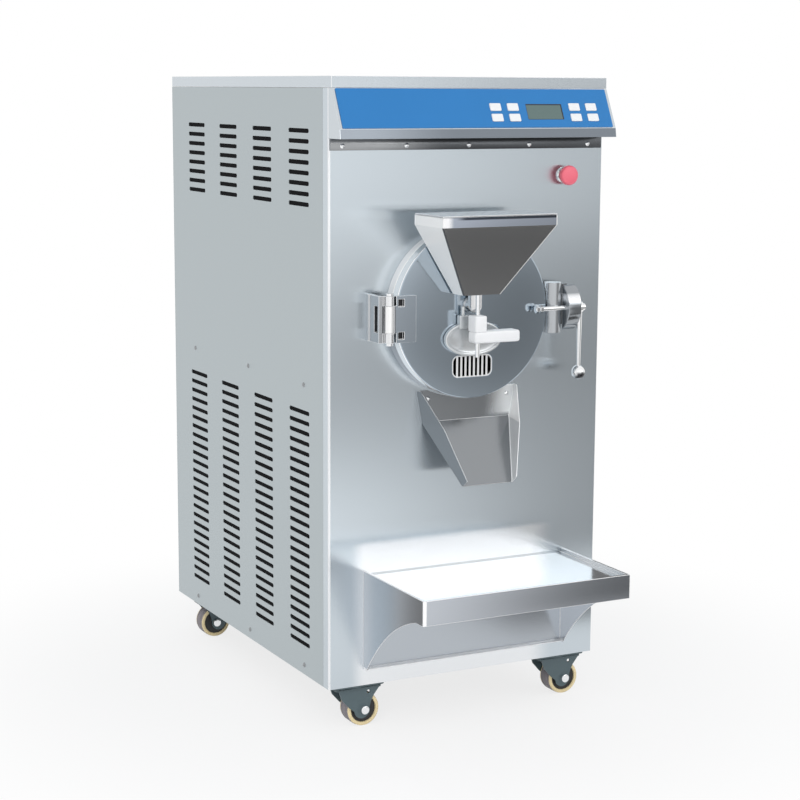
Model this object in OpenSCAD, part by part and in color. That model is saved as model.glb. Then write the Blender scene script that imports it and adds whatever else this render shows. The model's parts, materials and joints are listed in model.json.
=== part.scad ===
// Floor-standing batch freezer for ice cream: a cabinet on castors with a horizontal freezing cylinder,
// a hinged door with hopper and discharge gate, a chute and a work shelf.
// Inside each module x runs from the cabinet's centre, y from the front panel (forward is negative)
// and z from the underside of the base frame. stand() moves that frame onto the castors.

/* [Cabinet] */
// Width over the side panels
cab_w = 560; // [556:1:580]
// Depth from the front panel to the rear panel
cab_d = 764; // [750:1:800]
// Height from the base frame to the top of the cover
cab_h = 1097; // [1090:1:1120]
// Thickness of the cabinet's sheet metal
sheet = 1.5; // [1.2:0.1:1.6]
// Depth of the front panel's folded sides
fold_d = 23; // [20:1:28]
// Height of the top cover's skirt
cover_h = 20.5; // [18:0.5:24]
// Side of the frame's square tube
tube = 25; // [22:1:28]
// Height of the mid rails, where the middle row of panel screws sits
mid_rail_z = 545; // [535:1:555]

/* [Vents] */
// Length of one vent slot
slot_l = 88; // [70:1:100]
// Height of one vent slot
slot_h = 8; // [5:0.2:9]
// Distance between rows of slots in the upper group
upper_pitch = 18.6; // [16:0.1:20]
// Distance between rows of slots in the lower group
lower_pitch = 18.9; // [16:0.1:19.5]
// Distance between columns of slots
slot_step = 167; // [150:1:175]
// Rows in the upper group
upper_rows = 8; // [4:1:8]
// Rows in the lower group
lower_rows = 24; // [12:1:24]

/* [Control fascia] */
// How far the fascia's top edge stands in front of the panel
fascia_top = 12.4; // [10:0.2:16]
// How far the fascia's lower edge stands in front of the panel
fascia_out = 46; // [40:1:52]
// Height of the sloping face
fascia_drop = 70; // [66:1:76]
// Height of the lip under the sloping face
lip_h = 16.5; // [12:0.5:20]
// Height of the screwed hem below the fascia
hem_h = 21; // [18:1:24]
// Width and height of a key
key_size = [22.6, 14.6];
// How far a key travels
key_travel = 0.8; // [0.4:0.1:1]
// Width and height of the display window
display_size = [75, 30];

/* [Emergency stop] */
// Place of the button from the centre line and the base
stop_at = [198, 920];
// Radius of the mushroom head
stop_r = 18; // [16:0.5:20]
// How far the head stands in front of the panel
stop_out = 26; // [25:1:30]

/* [Door and cylinder] */
// Place of the cylinder's axis from the centre line and the base
door_at = [-14.5, 679];
// Radius of the door and of the flange behind it
door_r = 155; // [152:1:158]
// Thickness of the flange that the door closes on
flange_t = 21; // [19:0.2:23]
// Thickness of the door
door_t = 21.5; // [19:0.5:23]
// Inner radius of the freezing cylinder
cyl_r = 115; // [105:1:118]
// Length of the freezing cylinder behind the panel
cyl_l = 350; // [330:5:370]

/* [Hopper] */
// Width and depth of the hopper's rim
hopper_rim = [228, 105];
// Width and depth of the hopper's floor
hopper_floor = [74, 40];
// Height of the rim's lower edge and of the floor
hopper_z = [841, 716];
// Sheet thickness of the hopper
hopper_t = 2; // [1.5:0.1:2.5]
// Radius of the feed tube
feed_r = 13; // [11:0.5:13]

/* [Gate] */
// Centre line of the hopper and the gate
feed_x = -21; // [-24:1:-18]
// Width and height of the gate plate
gate_size = [116, 64];
// Height of the gate plate's centre, gate raised
gate_z = 634; // [632:1:636]
// Width and height of the outlet in the door
outlet_size = [82, 40];
// Height of the outlet's centre
outlet_z = 583; // [581:1:584]
// Number of bars in the outlet
bar_count = 8; // [5:1:9]

/* [Latch] */
// Height of the latch rod
latch_z = 681; // [676:1:686]
// Length of the lever from the rod to the ball
lever_l = 121; // [100:1:130]
// Radius of the ball on the lever
ball_r = 13; // [11:0.5:15]

/* [Chute] */
// Centre line of the chute
chute_x = -2; // [-6:1:2]
// Half widths of the chute at its top, fold and lip, before its walls lean in
chute_half = [103, 92, 68.5];
// How far each wall leans in for each millimetre that it reaches forwards
chute_lean = 0.2; // [0.1:0.05:0.25]
// Heights of the chute's top, fold and lip
chute_z = [537, 478, 371];
// Reach of the chute's floor at its lip, and of its walls at the fold and the lip
chute_reach = [83, 61, 99];

/* [Shelf] */
// Half width of the shelf
shelf_half = 210.5; // [190:0.5:225]
// Reach of the shelf from the panel
shelf_reach = 232; // [200:1:250]
// Height of the shelf's rim
shelf_z = 214.5; // [205:0.5:225]
// Height of the shelf's front apron
apron_h = 44.5; // [36:0.5:50]
// Height of the rim above the shelf's floor
rim_h = 7.5; // [4:0.5:10]

/* [Castors] */
// Height of the castors
castor_h = 84; // [80:1:90]
// Half distance between the castors' swivel pins across the cabinet
castor_half = 216; // [205:1:220]
// Inset of the front and rear swivel pins from the front and rear panels
castor_inset = [36, 72];
// Radius of a castor wheel
wheel_r = 32; // [30:0.5:33]
// Width of a castor wheel
wheel_w = 36; // [34:1:38]
// Distance from the swivel pin to the axle
trail = 15; // [12:1:18]

/* [Hidden] */
$fn = 64;

half_w = cab_w / 2;
cover_z = cab_h - cover_h;
gland_out = 14;
gland_at = [180, 120];
gland_bore = 5.5;
// The frame's origin is under the middle of the whole machine, shelf and gland included.
panel_y = shelf_reach - (cab_d + gland_out + shelf_reach) / 2;

// Gaps: between fixed sheets, and between pieces that move past each other
seam = 0.3;
gap = 0.5;
// Radial clearance of a pin that turns or slides in its bore
run = 0.06;

frame_half = half_w - sheet - seam;
frame_y = [sheet + gap, cab_d - sheet - seam];
rail_z = [mid_rail_z - tube / 2, 845, cover_z - tube - 6];

jacket_r = 165;
// The cross beams that carry the insulated cylinder
cradle_z = door_at[1] - jacket_r - tube;

screw_head_r = 4.6;
screw_head_h = 2.4;
screw_shank_r = 2.4;
screw_shank_l = 9;
side_screw_y = [107, 367, 648];
side_screw_z = [18, mid_rail_z];
rear_screw_x = [-262, 0, 262];
rear_screw_z = [18, mid_rail_z, cover_z - 20];
hem_screw_x = [for (i = [-2:2]) -3 + i * 125.5];
hem_screw_z = 977;
chute_screw_x = [-80, 84];
chute_screw_z = 521;

slot_first_y = 82;
upper_first_z = 1001;
lower_first_z = 494;

// Slope of the fascia from the vertical, and the length of its sloping face
slope_a = atan((fascia_out - fascia_top) / fascia_drop);
slope_l = (fascia_drop) / cos(slope_a);
lip_z = cover_z - fascia_drop - lip_h;
lip_out = fascia_out + 2.5;
overlay_t = 1.5;
key_col = [34, 70, 199, 235];
key_row = [37, 57.5];
key_proud = 1.3;
key_flange = 1;
display_at = [135, 46];

door_back = flange_t + gap;
door_face = door_back + door_t;
gasket_r = [131, 137];
gasket_t = 3;
cyl_wall = 6;
shaft_r = 14;

// The hinge pin stands beside the door, level with its face.
hinge_at = [-183, -door_face - 2];
hinge_z = [634, 717];
hinge_r = 9;
hinge_pin_r = 5;
hinge_knuckle = 17;

hopper_back = door_face + 3;
rod_y = -82;
rod_x = feed_x - 5;
// The gate plate hangs a little to the right of the feed, under the handle.
gate_x = feed_x + 4;
rod_r = 4;
rod_z = 604;
feed_y = -63;
feed_z = 694;
gate_t = 10;
gate_front = door_face + 1 + gate_t;

lug_at = [155, -39];
lug_r = 16;
lug_half = 46;
latch_y = -58;
latch_rod_r = 4.5;
latch_rod_x = [107, 212];
hub_r = 10;
hub_x = [190, 207];
// The latch claw is a block with a round front, on the rod.
claw_x = [171.6, 199];
claw_y = [-25, -46];
claw_r = 46;
lever_x = 202;
keeper_x = [180, 202];
keeper_r = 24;
keeper_out = 11;

// Castor heights are measured down from the base frame.
castor_plate_t = 4;
axle_r = 5;
axle_z = wheel_r - castor_h;
fork_t = 3;
fork_top_z = -9;
cheek_y = wheel_w / 2 + 1.4;
castor_spots = [
  [-castor_half, castor_inset[0], 0],
  [castor_half, castor_inset[0], 0],
  [-castor_half, cab_d - castor_inset[1], 180],
  [castor_half, cab_d - castor_inset[1], 180]
];

// Moves the cabinet's own frame onto the castors.
module stand() {
  translate([0, panel_y, castor_h]) children();
}

// Carries a profile drawn as (y, z) along x, centred.
module along_x(w) {
  translate([-w / 2, 0, 0]) rotate([90, 0, 90]) linear_extrude(w) children();
}

// Carries an outline drawn as (x, z) back from y0 over a length.
module along_y(y0, l) {
  translate([0, y0 + l, 0]) rotate([90, 0, 0]) linear_extrude(l) children();
}

// Turns the local z axis to point forward from the panel at a place given as (x, z).
module forward_at(p) {
  translate([p[0], 0, p[1]]) rotate([90, 0, 0]) children();
}

// A local frame on the fascia's sloping face: y up the slope from its top edge, z outwards.
module on_slope() {
  translate([0, -fascia_top, cover_z]) rotate([90 - slope_a, 0, 0]) children();
}

module block(x, y, z) {
  translate([x[0], y[0], z[0]]) cube([x[1] - x[0], y[1] - y[0], z[1] - z[0]]);
}

module rounded(size, r) {
  square([size[0] - 2 * r, size[1]], center = true);
  square([size[0], size[1] - 2 * r], center = true);
  for (x = [-1, 1], y = [-1, 1])
    translate([x * (size[0] / 2 - r), y * (size[1] / 2 - r)]) circle(r);
}

module ring(outer, inner, h) {
  difference() {
    cylinder(r = outer, h = h);
    translate([0, 0, -1]) cylinder(r = inner, h = h + 2);
  }
}

// One vent slot with round ends, drawn from its start.
module slot() {
  translate([slot_h / 2, -slot_h / 2]) square([slot_l - slot_h, slot_h]);
  for (x = [slot_h / 2, slot_l - slot_h / 2]) translate([x, 0]) circle(slot_h / 2);
}

module slot_group(first_z, rows, pitch) {
  for (c = [0:3], r = [0:rows - 1])
    translate([slot_first_y + c * slot_step, first_z - r * pitch]) slot();
}

// Places children with z pointing out of the left (-1) or right (1) side at each side screw.
module at_side_screws(side) {
  for (y = side_screw_y, z = side_screw_z)
    translate([side * half_w, y, z]) rotate([0, side * 90, 0]) children();
}

module at_rear_screws() {
  for (x = rear_screw_x, z = rear_screw_z)
    translate([x, cab_d, z]) rotate([-90, 0, 0]) children();
}

module at_hem_screws() {
  for (x = hem_screw_x) translate([x, -sheet, hem_screw_z]) rotate([90, 0, 0]) children();
}

module at_chute_screws() {
  for (x = chute_screw_x) translate([chute_x + x, -sheet, chute_screw_z]) rotate([90, 0, 0]) children();
}

// A clearance hole for a panel screw, along the screw.
module screw_hole() {
  translate([0, 0, -screw_shank_l - 3]) cylinder(r = screw_shank_r + 0.15, h = screw_shank_l + 4);
}

module screw() {
  intersection() {
    cylinder(r = screw_head_r, h = screw_head_h);
    translate([0, 0, screw_head_h - 6]) sphere(6);
  }
  translate([0, 0, -screw_shank_l]) cylinder(r = screw_shank_r, h = screw_shank_l + 0.5);
}

module chassis_frame() {
  color("gray") stand() difference() {
    union() {
      for (s = [-1, 1]) {
        translate([s * (frame_half - tube / 2), 0, 0]) {
          block([-tube / 2, tube / 2], frame_y, [0, 30]);
          for (z = rail_z) block([-tube / 2, tube / 2], frame_y, [z, z + tube]);
          for (y = [frame_y[0], frame_y[1] - tube])
            block([-tube / 2, tube / 2], [y, y + tube], [0, rail_z[2] + tube]);
          for (y = [110, 290]) block([-tube / 2, tube / 2], [y, y + tube], [cradle_z, rail_z[0]]);
        }
      }
      for (y = [frame_y[0], frame_y[1] - tube]) {
        block([-frame_half, frame_half], [y, y + tube], [0, 30]);
        block([-frame_half, frame_half], [y, y + tube], [rail_z[2], rail_z[2] + tube]);
      }
      for (y = [110, 290]) block([-frame_half, frame_half], [y, y + tube], [cradle_z, cradle_z + tube]);
      for (y = [500, 640]) block([-frame_half, frame_half], [y, y + tube], [rail_z[0], rail_z[0] + tube]);
      for (y = [70, 200]) block([-frame_half, frame_half], [y, y + tube], [rail_z[1], rail_z[1] + tube]);
    }
    for (s = [-1, 1]) at_side_screws(s) screw_hole();
    at_rear_screws() screw_hole();
    at_hem_screws() screw_hole();
  }
}

module base_pan() {
  pan_half = frame_half - 4;
  color("lightgray") stand() difference() {
    block([-pan_half, pan_half], [frame_y[0] + 4, frame_y[1] - 4], [30, 32]);
    for (s = [-1, 1], y = [frame_y[0], frame_y[1] - tube])
      translate([s * (frame_half - tube / 2), y + tube / 2, 31])
        cube([tube + 1, tube + 1, 4], center = true);
  }
}

module side_panel(side) {
  color("silver") stand() difference() {
    translate([side * (half_w - sheet / 2), 0, 0]) along_x(sheet) difference() {
      translate([fold_d + seam, 0]) square([cab_d - fold_d - seam - sheet - seam, cover_z - seam]);
      slot_group(upper_first_z, upper_rows, upper_pitch);
      slot_group(lower_first_z, lower_rows, lower_pitch);
    }
    at_side_screws(side) screw_hole();
  }
}

module left_side_panel() {
  side_panel(-1);
}

module right_side_panel() {
  side_panel(1);
}

module front_panel() {
  color("lightsteelblue") stand() difference() {
    union() {
      block([-half_w, half_w], [0, sheet], [0, cover_z - seam]);
      for (s = [-1, 1]) translate([s * (half_w - sheet / 2), 0, 0])
        block([-sheet / 2, sheet / 2], [0, fold_d], [0, cover_z - seam]);
    }
    forward_at(door_at) translate([0, 0, -5]) cylinder(r = cyl_r + cyl_wall + 0.6, h = 10);
    forward_at(stop_at) translate([0, 0, -5]) cylinder(r = 11.3, h = 10);
    at_hem_screws() screw_hole();
    at_chute_screws() screw_hole();
  }
}

module rear_panel() {
  rear_cols = [-240, -45, 150];
  color("silver") stand() difference() {
    along_y(cab_d - sheet, sheet) difference() {
      translate([-half_w, 0]) square([cab_w, cover_z - seam]);
      for (x = rear_cols, r = [0:11]) translate([x, lower_first_z - 60 - r * lower_pitch]) slot();
      for (x = rear_cols, r = [0:upper_rows - 1]) translate([x, upper_first_z - r * upper_pitch]) slot();
      translate(gland_at) circle(10.3);
    }
    at_rear_screws() screw_hole();
  }
}

module top_cover() {
  color("silver") stand() difference() {
    block([-half_w, half_w], [-fascia_top, cab_d], [cover_z, cab_h]);
    inner = half_w - sheet;
    block([-inner, inner], [-fascia_top + sheet, cab_d - sheet], [cover_z - 1, cab_h - sheet]);
  }
}

module fascia_housing() {
  bend_z = cover_z - fascia_drop;
  top_z = cover_z - seam;
  color("silver") stand() difference() {
    union() {
      difference() {
        along_x(cab_w) polygon([
          [0, top_z], [-fascia_top, top_z], [-fascia_out, bend_z], [-lip_out, lip_z], [0, lip_z]
        ]);
        along_x(cab_w - 2 * sheet) polygon([
          [1, top_z - sheet], [-fascia_top + sheet, top_z - sheet], [-fascia_out + sheet * 1.1, bend_z],
          [-lip_out + sheet * 1.1, lip_z + sheet], [1, lip_z + sheet]
        ]);
      }
      block([-half_w + 2, half_w - 2], [-sheet, 0], [lip_z - hem_h, lip_z + 1]);
    }
    on_slope() translate([display_at[0], -47, 0]) cube([252, 50, 8], center = true);
    at_hem_screws() screw_hole();
  }
}

module fascia_overlay() {
  color("dodgerblue") stand() on_slope() difference() {
    translate([0, -slope_l / 2, 0]) linear_extrude(overlay_t) rounded([cab_w - 12, slope_l - 3], 1.5);
    for (i = [0:7]) translate([key_col[i % 4], -key_row[floor(i / 4)], -1])
      linear_extrude(4) rounded(key_size + [0.8, 0.8], 2.4);
    translate([display_at[0], -display_at[1], -1]) linear_extrude(4) rounded(display_size + [0.4, 0.4], 1.2);
  }
}

module display_window() {
  color("darkseagreen") stand() on_slope() translate([display_at[0], -display_at[1], 0]) {
    translate([0, 0, -2]) linear_extrude(2.8) rounded(display_size, 1);
    translate([0, 0, -2]) linear_extrude(2) rounded(display_size + [4, 3], 1);
  }
}

module key_cap(i) {
  color("white") stand() on_slope() translate([key_col[i % 4], -key_row[floor(i / 4)], 0]) {
    translate([0, 0, -gap - key_travel])
      linear_extrude(gap + key_travel + overlay_t + key_proud) rounded(key_size, 2);
    translate([0, 0, -gap - key_flange]) linear_extrude(key_flange) rounded(key_size + [2, 2], 2);
  }
}

module key_1() {
  key_cap(0);
}

module key_2() {
  key_cap(1);
}

module key_3() {
  key_cap(2);
}

module key_4() {
  key_cap(3);
}

module key_5() {
  key_cap(4);
}

module key_6() {
  key_cap(5);
}

module key_7() {
  key_cap(6);
}

module key_8() {
  key_cap(7);
}

module panel_screws() {
  color("white") stand() {
    for (s = [-1, 1]) at_side_screws(s) screw();
    at_rear_screws() screw();
    at_hem_screws() screw();
    at_chute_screws() screw();
  }
}

module estop_base() {
  stem_bore = 8 + run;
  color("gainsboro") stand() forward_at(stop_at) difference() {
    union() {
      cylinder(r = 14.5, h = 3);
      cylinder(r = 13.5, h = 5);
      translate([0, 0, -30]) cylinder(r = 11, h = 36);
      translate([0, 0, -sheet - 6]) ring(17, 10.5, 6);
      translate([-15, -15, -46]) cube([30, 30, 17]);
    }
    translate([0, 0, -20]) cylinder(r = stem_bore, h = 60);
  }
}

module estop_head() {
  color("crimson") stand() forward_at(stop_at) rotate_extrude() polygon([
    [0, -6], [8, -6], [8, 10.5], [10.5, 11.5], [10.5, 12.5], [stop_r - 1, 13.5], [stop_r, 15],
    [stop_r, stop_out - 4], [stop_r - 1.5, stop_out - 1.6], [stop_r - 5, stop_out - 0.3], [0, stop_out]
  ]);
}

module freezing_cylinder() {
  outer = cyl_r + cyl_wall;
  color("gainsboro") stand() forward_at(door_at) rotate_extrude() polygon([
    [cyl_r, flange_t], [door_r - 1.5, flange_t], [door_r, flange_t - 1.5], [door_r, 0.1], [outer, 0.1],
    [outer, -cyl_l], [shaft_r + 2, -cyl_l], [shaft_r + 2, -cyl_l + 8], [cyl_r, -cyl_l + 8]
  ]);
}

module insulation_jacket() {
  color("khaki") stand() forward_at(door_at) translate([0, 0, -cyl_l + 6])
    ring(jacket_r, cyl_r + cyl_wall + 0.2, cyl_l - 12);
}

module bearing_housing() {
  color("dimgray") stand() forward_at(door_at) difference() {
    union() {
      translate([0, 0, -cyl_l - 12]) cylinder(r = 80, h = 11.8);
      translate([0, 0, -cyl_l - 88]) cylinder(r = 42, h = 80);
    }
    translate([0, 0, -cyl_l - 100]) cylinder(r = shaft_r + run, h = 120);
  }
}

module beater() {
  blade_l = cyl_l + 4;
  blade_r = cyl_r - 3;
  color("lightgray") stand() forward_at(door_at) translate([0, 0, -cyl_l + 12]) {
    linear_extrude(blade_l, twist = 150, slices = 18, segments = 4, $fn = 8) for (a = [0:120:240])
      rotate(a) translate([blade_r - 14, -4]) square([14, 8]);
    linear_extrude(10) for (a = [0:120:240]) rotate(a) translate([36, -9]) square([blade_r - 38, 18]);
    translate([0, 0, blade_l - 10]) ring(blade_r - 3, blade_r - 13, 9);
    ring(50, 36, 10);
  }
}

module beater_shaft() {
  color("gainsboro") stand() forward_at(door_at) {
    translate([0, 0, -cyl_l - 170]) cylinder(r = shaft_r, h = 184);
    translate([0, 0, -cyl_l + 10]) cylinder(r = 36, h = 14);
  }
}

module drive_motor() {
  color("steelblue") stand() {
    forward_at(door_at) difference() {
      union() {
        translate([0, 0, -cyl_l - 205]) cylinder(r = 75, h = 116);
        translate([0, 0, -cyl_l - 345]) cylinder(r = 68, h = 141);
      }
      translate([0, 0, -cyl_l - 176]) cylinder(r = shaft_r + run, h = 120);
    }
    block([-60, 32], [495, 680], [rail_z[0] + tube, 622]);
  }
}

module compressor() {
  can_r = 95;
  color("black") stand() translate([-120, 500, 32]) {
    rotate_extrude() polygon([
      [0, 24], [60, 24], [can_r - 8, 32], [can_r, 46], [can_r, 210],
      [can_r - 14, 234], [can_r - 50, 246], [0, 250]
    ]);
    translate([-100, -75, 8]) cube([200, 150, 17]);
    for (x = [-85, 85], y = [-60, 60]) translate([x, y, 0]) cylinder(r = 12, h = 9);
  }
}

module condenser() {
  fin_count = 20;
  fin_l = 440;
  color("peru") stand() translate([214, 120, 40]) {
    difference() {
      cube([48, fin_l, 400]);
      for (i = [0:fin_count - 1]) translate([-1, 16 + i * (fin_l - 32) / fin_count, 12])
        cube([18, 12, 376]);
    }
    for (y = [0, fin_l - 12]) translate([0, y, -8]) cube([48, 12, 9]);
  }
}

module fan_motor() {
  color("dimgray") stand() translate([0, 340, 240]) rotate([0, 90, 0]) {
    translate([0, 0, 184]) ring(158, 152, 30);
    translate([0, 0, 110]) cylinder(r = 44, h = 62);
    translate([0, 0, 171]) cylinder(r = 5, h = 38);
    for (a = [0:120:240]) rotate(a) translate([38, -8, 166]) cube([118, 16, 5]);
    for (a = [0:120:240]) rotate(a) translate([150, -8, 166]) cube([7, 16, 22]);
  }
}

module condenser_fan() {
  color("silver") stand() translate([0, 340, 240]) rotate([0, 90, 0]) difference() {
    union() {
      translate([0, 0, 184]) cylinder(r = 32, h = 20);
      for (a = [0:72:288])
        rotate(a) translate([26, 0, 194]) rotate([28, 0, 0]) translate([0, -22, -1]) cube([118, 44, 2]);
    }
    translate([0, 0, 180]) cylinder(r = 5 + run, h = 40);
  }
}

module electrical_box() {
  color("whitesmoke") stand() block([-230, 110], [75, 225], [rail_z[1] + tube, 1020]);
}

module cable_gland() {
  color("dimgray") stand() translate([gland_at[0], cab_d, gland_at[1]]) rotate([-90, 0, 0]) difference() {
    union() {
      cylinder(r = 14, h = 6, $fn = 6);
      cylinder(r = 11, h = gland_out);
      translate([0, 0, -16]) cylinder(r = 10, h = 17);
      translate([0, 0, -sheet - 6]) cylinder(r = 14, h = 6, $fn = 6);
    }
    translate([0, 0, -20]) cylinder(r = gland_bore, h = 40);
  }
}

module hinge_bracket() {
  plate = [-203, -193];
  color("gainsboro") stand() difference() {
    union() {
      block(plate, [hinge_at[1] + 2, -0.1], hinge_z);
      block([-205.5, plate[1]], [-6, -0.1], hinge_z);
      for (z = [hinge_z[0], hinge_z[1] - hinge_knuckle]) {
        translate([hinge_at[0], hinge_at[1], z]) cylinder(r = hinge_r, h = hinge_knuckle);
        block([plate[1] - 2, hinge_at[0]], [hinge_at[1] + 1, hinge_at[1] + hinge_r], [z, z + hinge_knuckle]);
      }
    }
    translate([hinge_at[0], hinge_at[1], hinge_z[0] - 5]) cylinder(r = hinge_pin_r + 0.03, h = 100);
    block([plate[0] - 1, plate[0] + 7], [-38, -25], [hinge_z[0] + 18, hinge_z[1] - 18]);
  }
}

module hinge_pin() {
  color("white") stand() translate([hinge_at[0], hinge_at[1], 0]) {
    translate([0, 0, hinge_z[0] - 3]) cylinder(r = hinge_pin_r, h = hinge_z[1] - hinge_z[0] + 6);
    for (z = [hinge_z[0] - 5, hinge_z[1]]) translate([0, 0, z]) cylinder(r = hinge_pin_r + 2, h = 5);
  }
}

module door_hinge_leaf() {
  leaf = [-172.5, -133];
  z0 = hinge_z[0] + hinge_knuckle + gap;
  z1 = hinge_z[1] - hinge_knuckle - gap;
  color("gainsboro") stand() difference() {
    union() {
      block(leaf, [-door_face - 8, -door_face], hinge_z);
      translate([hinge_at[0], hinge_at[1], z0]) cylinder(r = hinge_r, h = z1 - z0);
      block([hinge_at[0], leaf[0] + 1], [-door_face - 8, -door_face], [z0, z1]);
    }
    translate([hinge_at[0], hinge_at[1], z0 - 5]) cylinder(r = hinge_pin_r + run, h = z1 - z0 + 10);
    for (z = [hinge_z[0] + 6, hinge_z[1] - 19])
      block([leaf[0] + 4, leaf[0] + 16], [-door_face - 9, -door_face - 2], [z, z + 13]);
  }
}

module door_disc() {
  color("slategray") stand() difference() {
    forward_at(door_at) rotate_extrude() polygon([
      [0, door_back], [gasket_r[0], door_back], [gasket_r[0], door_back + gasket_t],
      [gasket_r[1], door_back + gasket_t],
      [gasket_r[1], door_back], [door_r - 1, door_back], [door_r, door_back + 1], [door_r, door_face - 2],
      [door_r - 2, door_face], [0, door_face]
    ]);
    forward_at([door_at[0], outlet_z]) linear_extrude(80) rounded(outlet_size, 12);
    forward_at([feed_x, feed_z]) cylinder(r = feed_r + 0.1, h = 80);
  }
}

module door_gasket() {
  color("white") stand() forward_at(door_at) translate([0, 0, door_back])
    ring(gasket_r[1] - 0.1, gasket_r[0] + 0.1, gasket_t - 0.1);
}

module outlet_grille() {
  bar_w = 3.8;
  inner = outlet_size - [4, 4];
  step = inner[0] / (bar_count + 1);
  color("white") stand() forward_at([door_at[0], outlet_z]) translate([0, 0, door_back + 4]) {
    linear_extrude(door_t - 4) difference() {
      rounded(outlet_size - [0.2, 0.2], 11.9);
      rounded(inner, 10);
    }
    for (i = [1:bar_count]) translate([-inner[0] / 2 + i * step, 0, (door_t - 5) / 2])
      cube([bar_w, inner[1] + 1, door_t - 5], center = true);
  }
}

// A frustum between two rectangles whose corners are given as (x0, y0, x1, y1).
module frustum(top, z_top, bottom, z_bottom) {
  function corners(r, z) = [[r[0], r[1], z], [r[2], r[1], z], [r[2], r[3], z], [r[0], r[3], z]];
  polyhedron(
    concat(corners(bottom, z_bottom), corners(top, z_top)),
    [[0, 1, 2, 3], [7, 6, 5, 4], [0, 4, 5, 1], [1, 5, 6, 2], [2, 6, 7, 3], [3, 7, 4, 0]]
  );
}

// The hopper's plan at its rim and floor, drawn in by t on every side.
function rim_plan(t) = [feed_x - hopper_rim[0] / 2 + t, -hopper_back - hopper_rim[1] + t,
  feed_x + hopper_rim[0] / 2 - t, -hopper_back - t];
function floor_plan(t) = [feed_x - hopper_floor[0] / 2 + t, -hopper_back - 2 - hopper_floor[1] + t,
  feed_x + hopper_floor[0] / 2 - t, -hopper_back - 2 - t];
rim_top = hopper_z[0] + 17;

module hopper() {
  color("gainsboro") stand() difference() {
    union() {
      frustum(rim_plan(0), hopper_z[0], floor_plan(0), hopper_z[1]);
      block([rim_plan(0)[0], rim_plan(0)[2]], [rim_plan(0)[1], rim_plan(0)[3]], [hopper_z[0], rim_top]);
      block([feed_x - 30, feed_x + 30], [-hopper_back - 6, -door_face], [742, 778]);
      translate([feed_x, feed_y, feed_z]) cylinder(r = feed_r, h = hopper_z[1] - feed_z + 1);
      translate([feed_x, feed_y, feed_z]) sphere(feed_r);
      translate([feed_x, feed_y, feed_z]) rotate([-90, 0, 0]) cylinder(r = feed_r, h = -feed_y - door_back);
    }
    frustum(rim_plan(hopper_t), hopper_z[0] + 0.5, floor_plan(hopper_t), hopper_z[1] + hopper_t);
    block([rim_plan(hopper_t)[0], rim_plan(hopper_t)[2]], [rim_plan(hopper_t)[1], rim_plan(hopper_t)[3]],
      [hopper_z[0] + 0.4, rim_top + 1]);
    translate([feed_x, feed_y, feed_z]) cylinder(r = feed_r - 2, h = 40);
    translate([feed_x, feed_y, feed_z]) sphere(feed_r - 2);
    translate([feed_x, feed_y, feed_z]) rotate([-90, 0, 0]) cylinder(r = feed_r - 2, h = 60);
  }
}

module hopper_lid() {
  outside = rim_plan(0);
  skirt = rim_plan(hopper_t + 0.6);
  inside = rim_plan(hopper_t + 2.1);
  color("whitesmoke") stand() {
    block([outside[0], outside[2]], [outside[1], outside[3]], [rim_top + 0.4, rim_top + 3]);
    difference() {
      block([skirt[0], skirt[2]], [skirt[1], skirt[3]], [rim_top - 8, rim_top + 1]);
      block([inside[0], inside[2]], [inside[1], inside[3]], [rim_top - 9, rim_top + 0.4]);
    }
  }
}

module gate_guide_rod() {
  color("white") stand() translate([rod_x, rod_y, rod_z]) cylinder(r = rod_r, h = hopper_z[1] - rod_z);
}

// The gate's oval outline, drawn in by an inset.
module gate_outline(inset) {
  half = gate_size / 2 - [inset, inset];
  polygon([for (a = [0:5:355]) [half[0] * cos(a), half[1] * sin(a)]]);
}

module gate_plate() {
  color("gainsboro") stand() forward_at([gate_x, gate_z]) {
    difference() {
      translate([0, 0, gate_front - gate_t]) linear_extrude(gate_t) gate_outline(0);
      translate([0, 0, gate_front - 1.6]) linear_extrude(3) gate_outline(5);
    }
    translate([0, 10, gate_front - 4]) cylinder(r = 8, h = -rod_y - 15 - gate_front + 4);
  }
}

module gate_handle() {
  color("white") stand() difference() {
    union() {
      block([rod_x - 11.5, rod_x + 12], [rod_y - 13, rod_y + 15], [650, 679]);
      along_y(rod_y - 12, 27) translate([rod_x + 35, 640.5]) rounded([92, 21], 3.5);
    }
    translate([rod_x, rod_y, 600]) cylinder(r = rod_r + run, h = 100);
  }
}

module latch_lug() {
  color("gainsboro") stand() difference() {
    union() {
      translate([lug_at[0], lug_at[1], latch_z - lug_half]) cylinder(r = lug_r, h = 2 * lug_half);
      block([lug_at[0] - 34, lug_at[0]], [-door_face + 3, -door_back - 3], [latch_z - 24, latch_z + 20]);
    }
    forward_at(door_at) cylinder(r = door_r + 0.05, h = 60);
    translate([100, latch_y, latch_z]) rotate([0, 90, 0]) cylinder(r = latch_rod_r, h = 100);
  }
}

module latch_rod() {
  color("white") stand() translate([0, latch_y, latch_z]) rotate([0, 90, 0]) {
    translate([0, 0, latch_rod_x[0]]) cylinder(r = latch_rod_r, h = latch_rod_x[1] - latch_rod_x[0]);
    for (x = [latch_rod_x[0] + 1, latch_rod_x[0] + 9]) translate([0, 0, x]) cylinder(r = 7.5, h = 6, $fn = 6);
    translate([0, 0, hub_x[1] + gap]) cylinder(r = 6.5, h = 4.5);
  }
}

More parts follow.
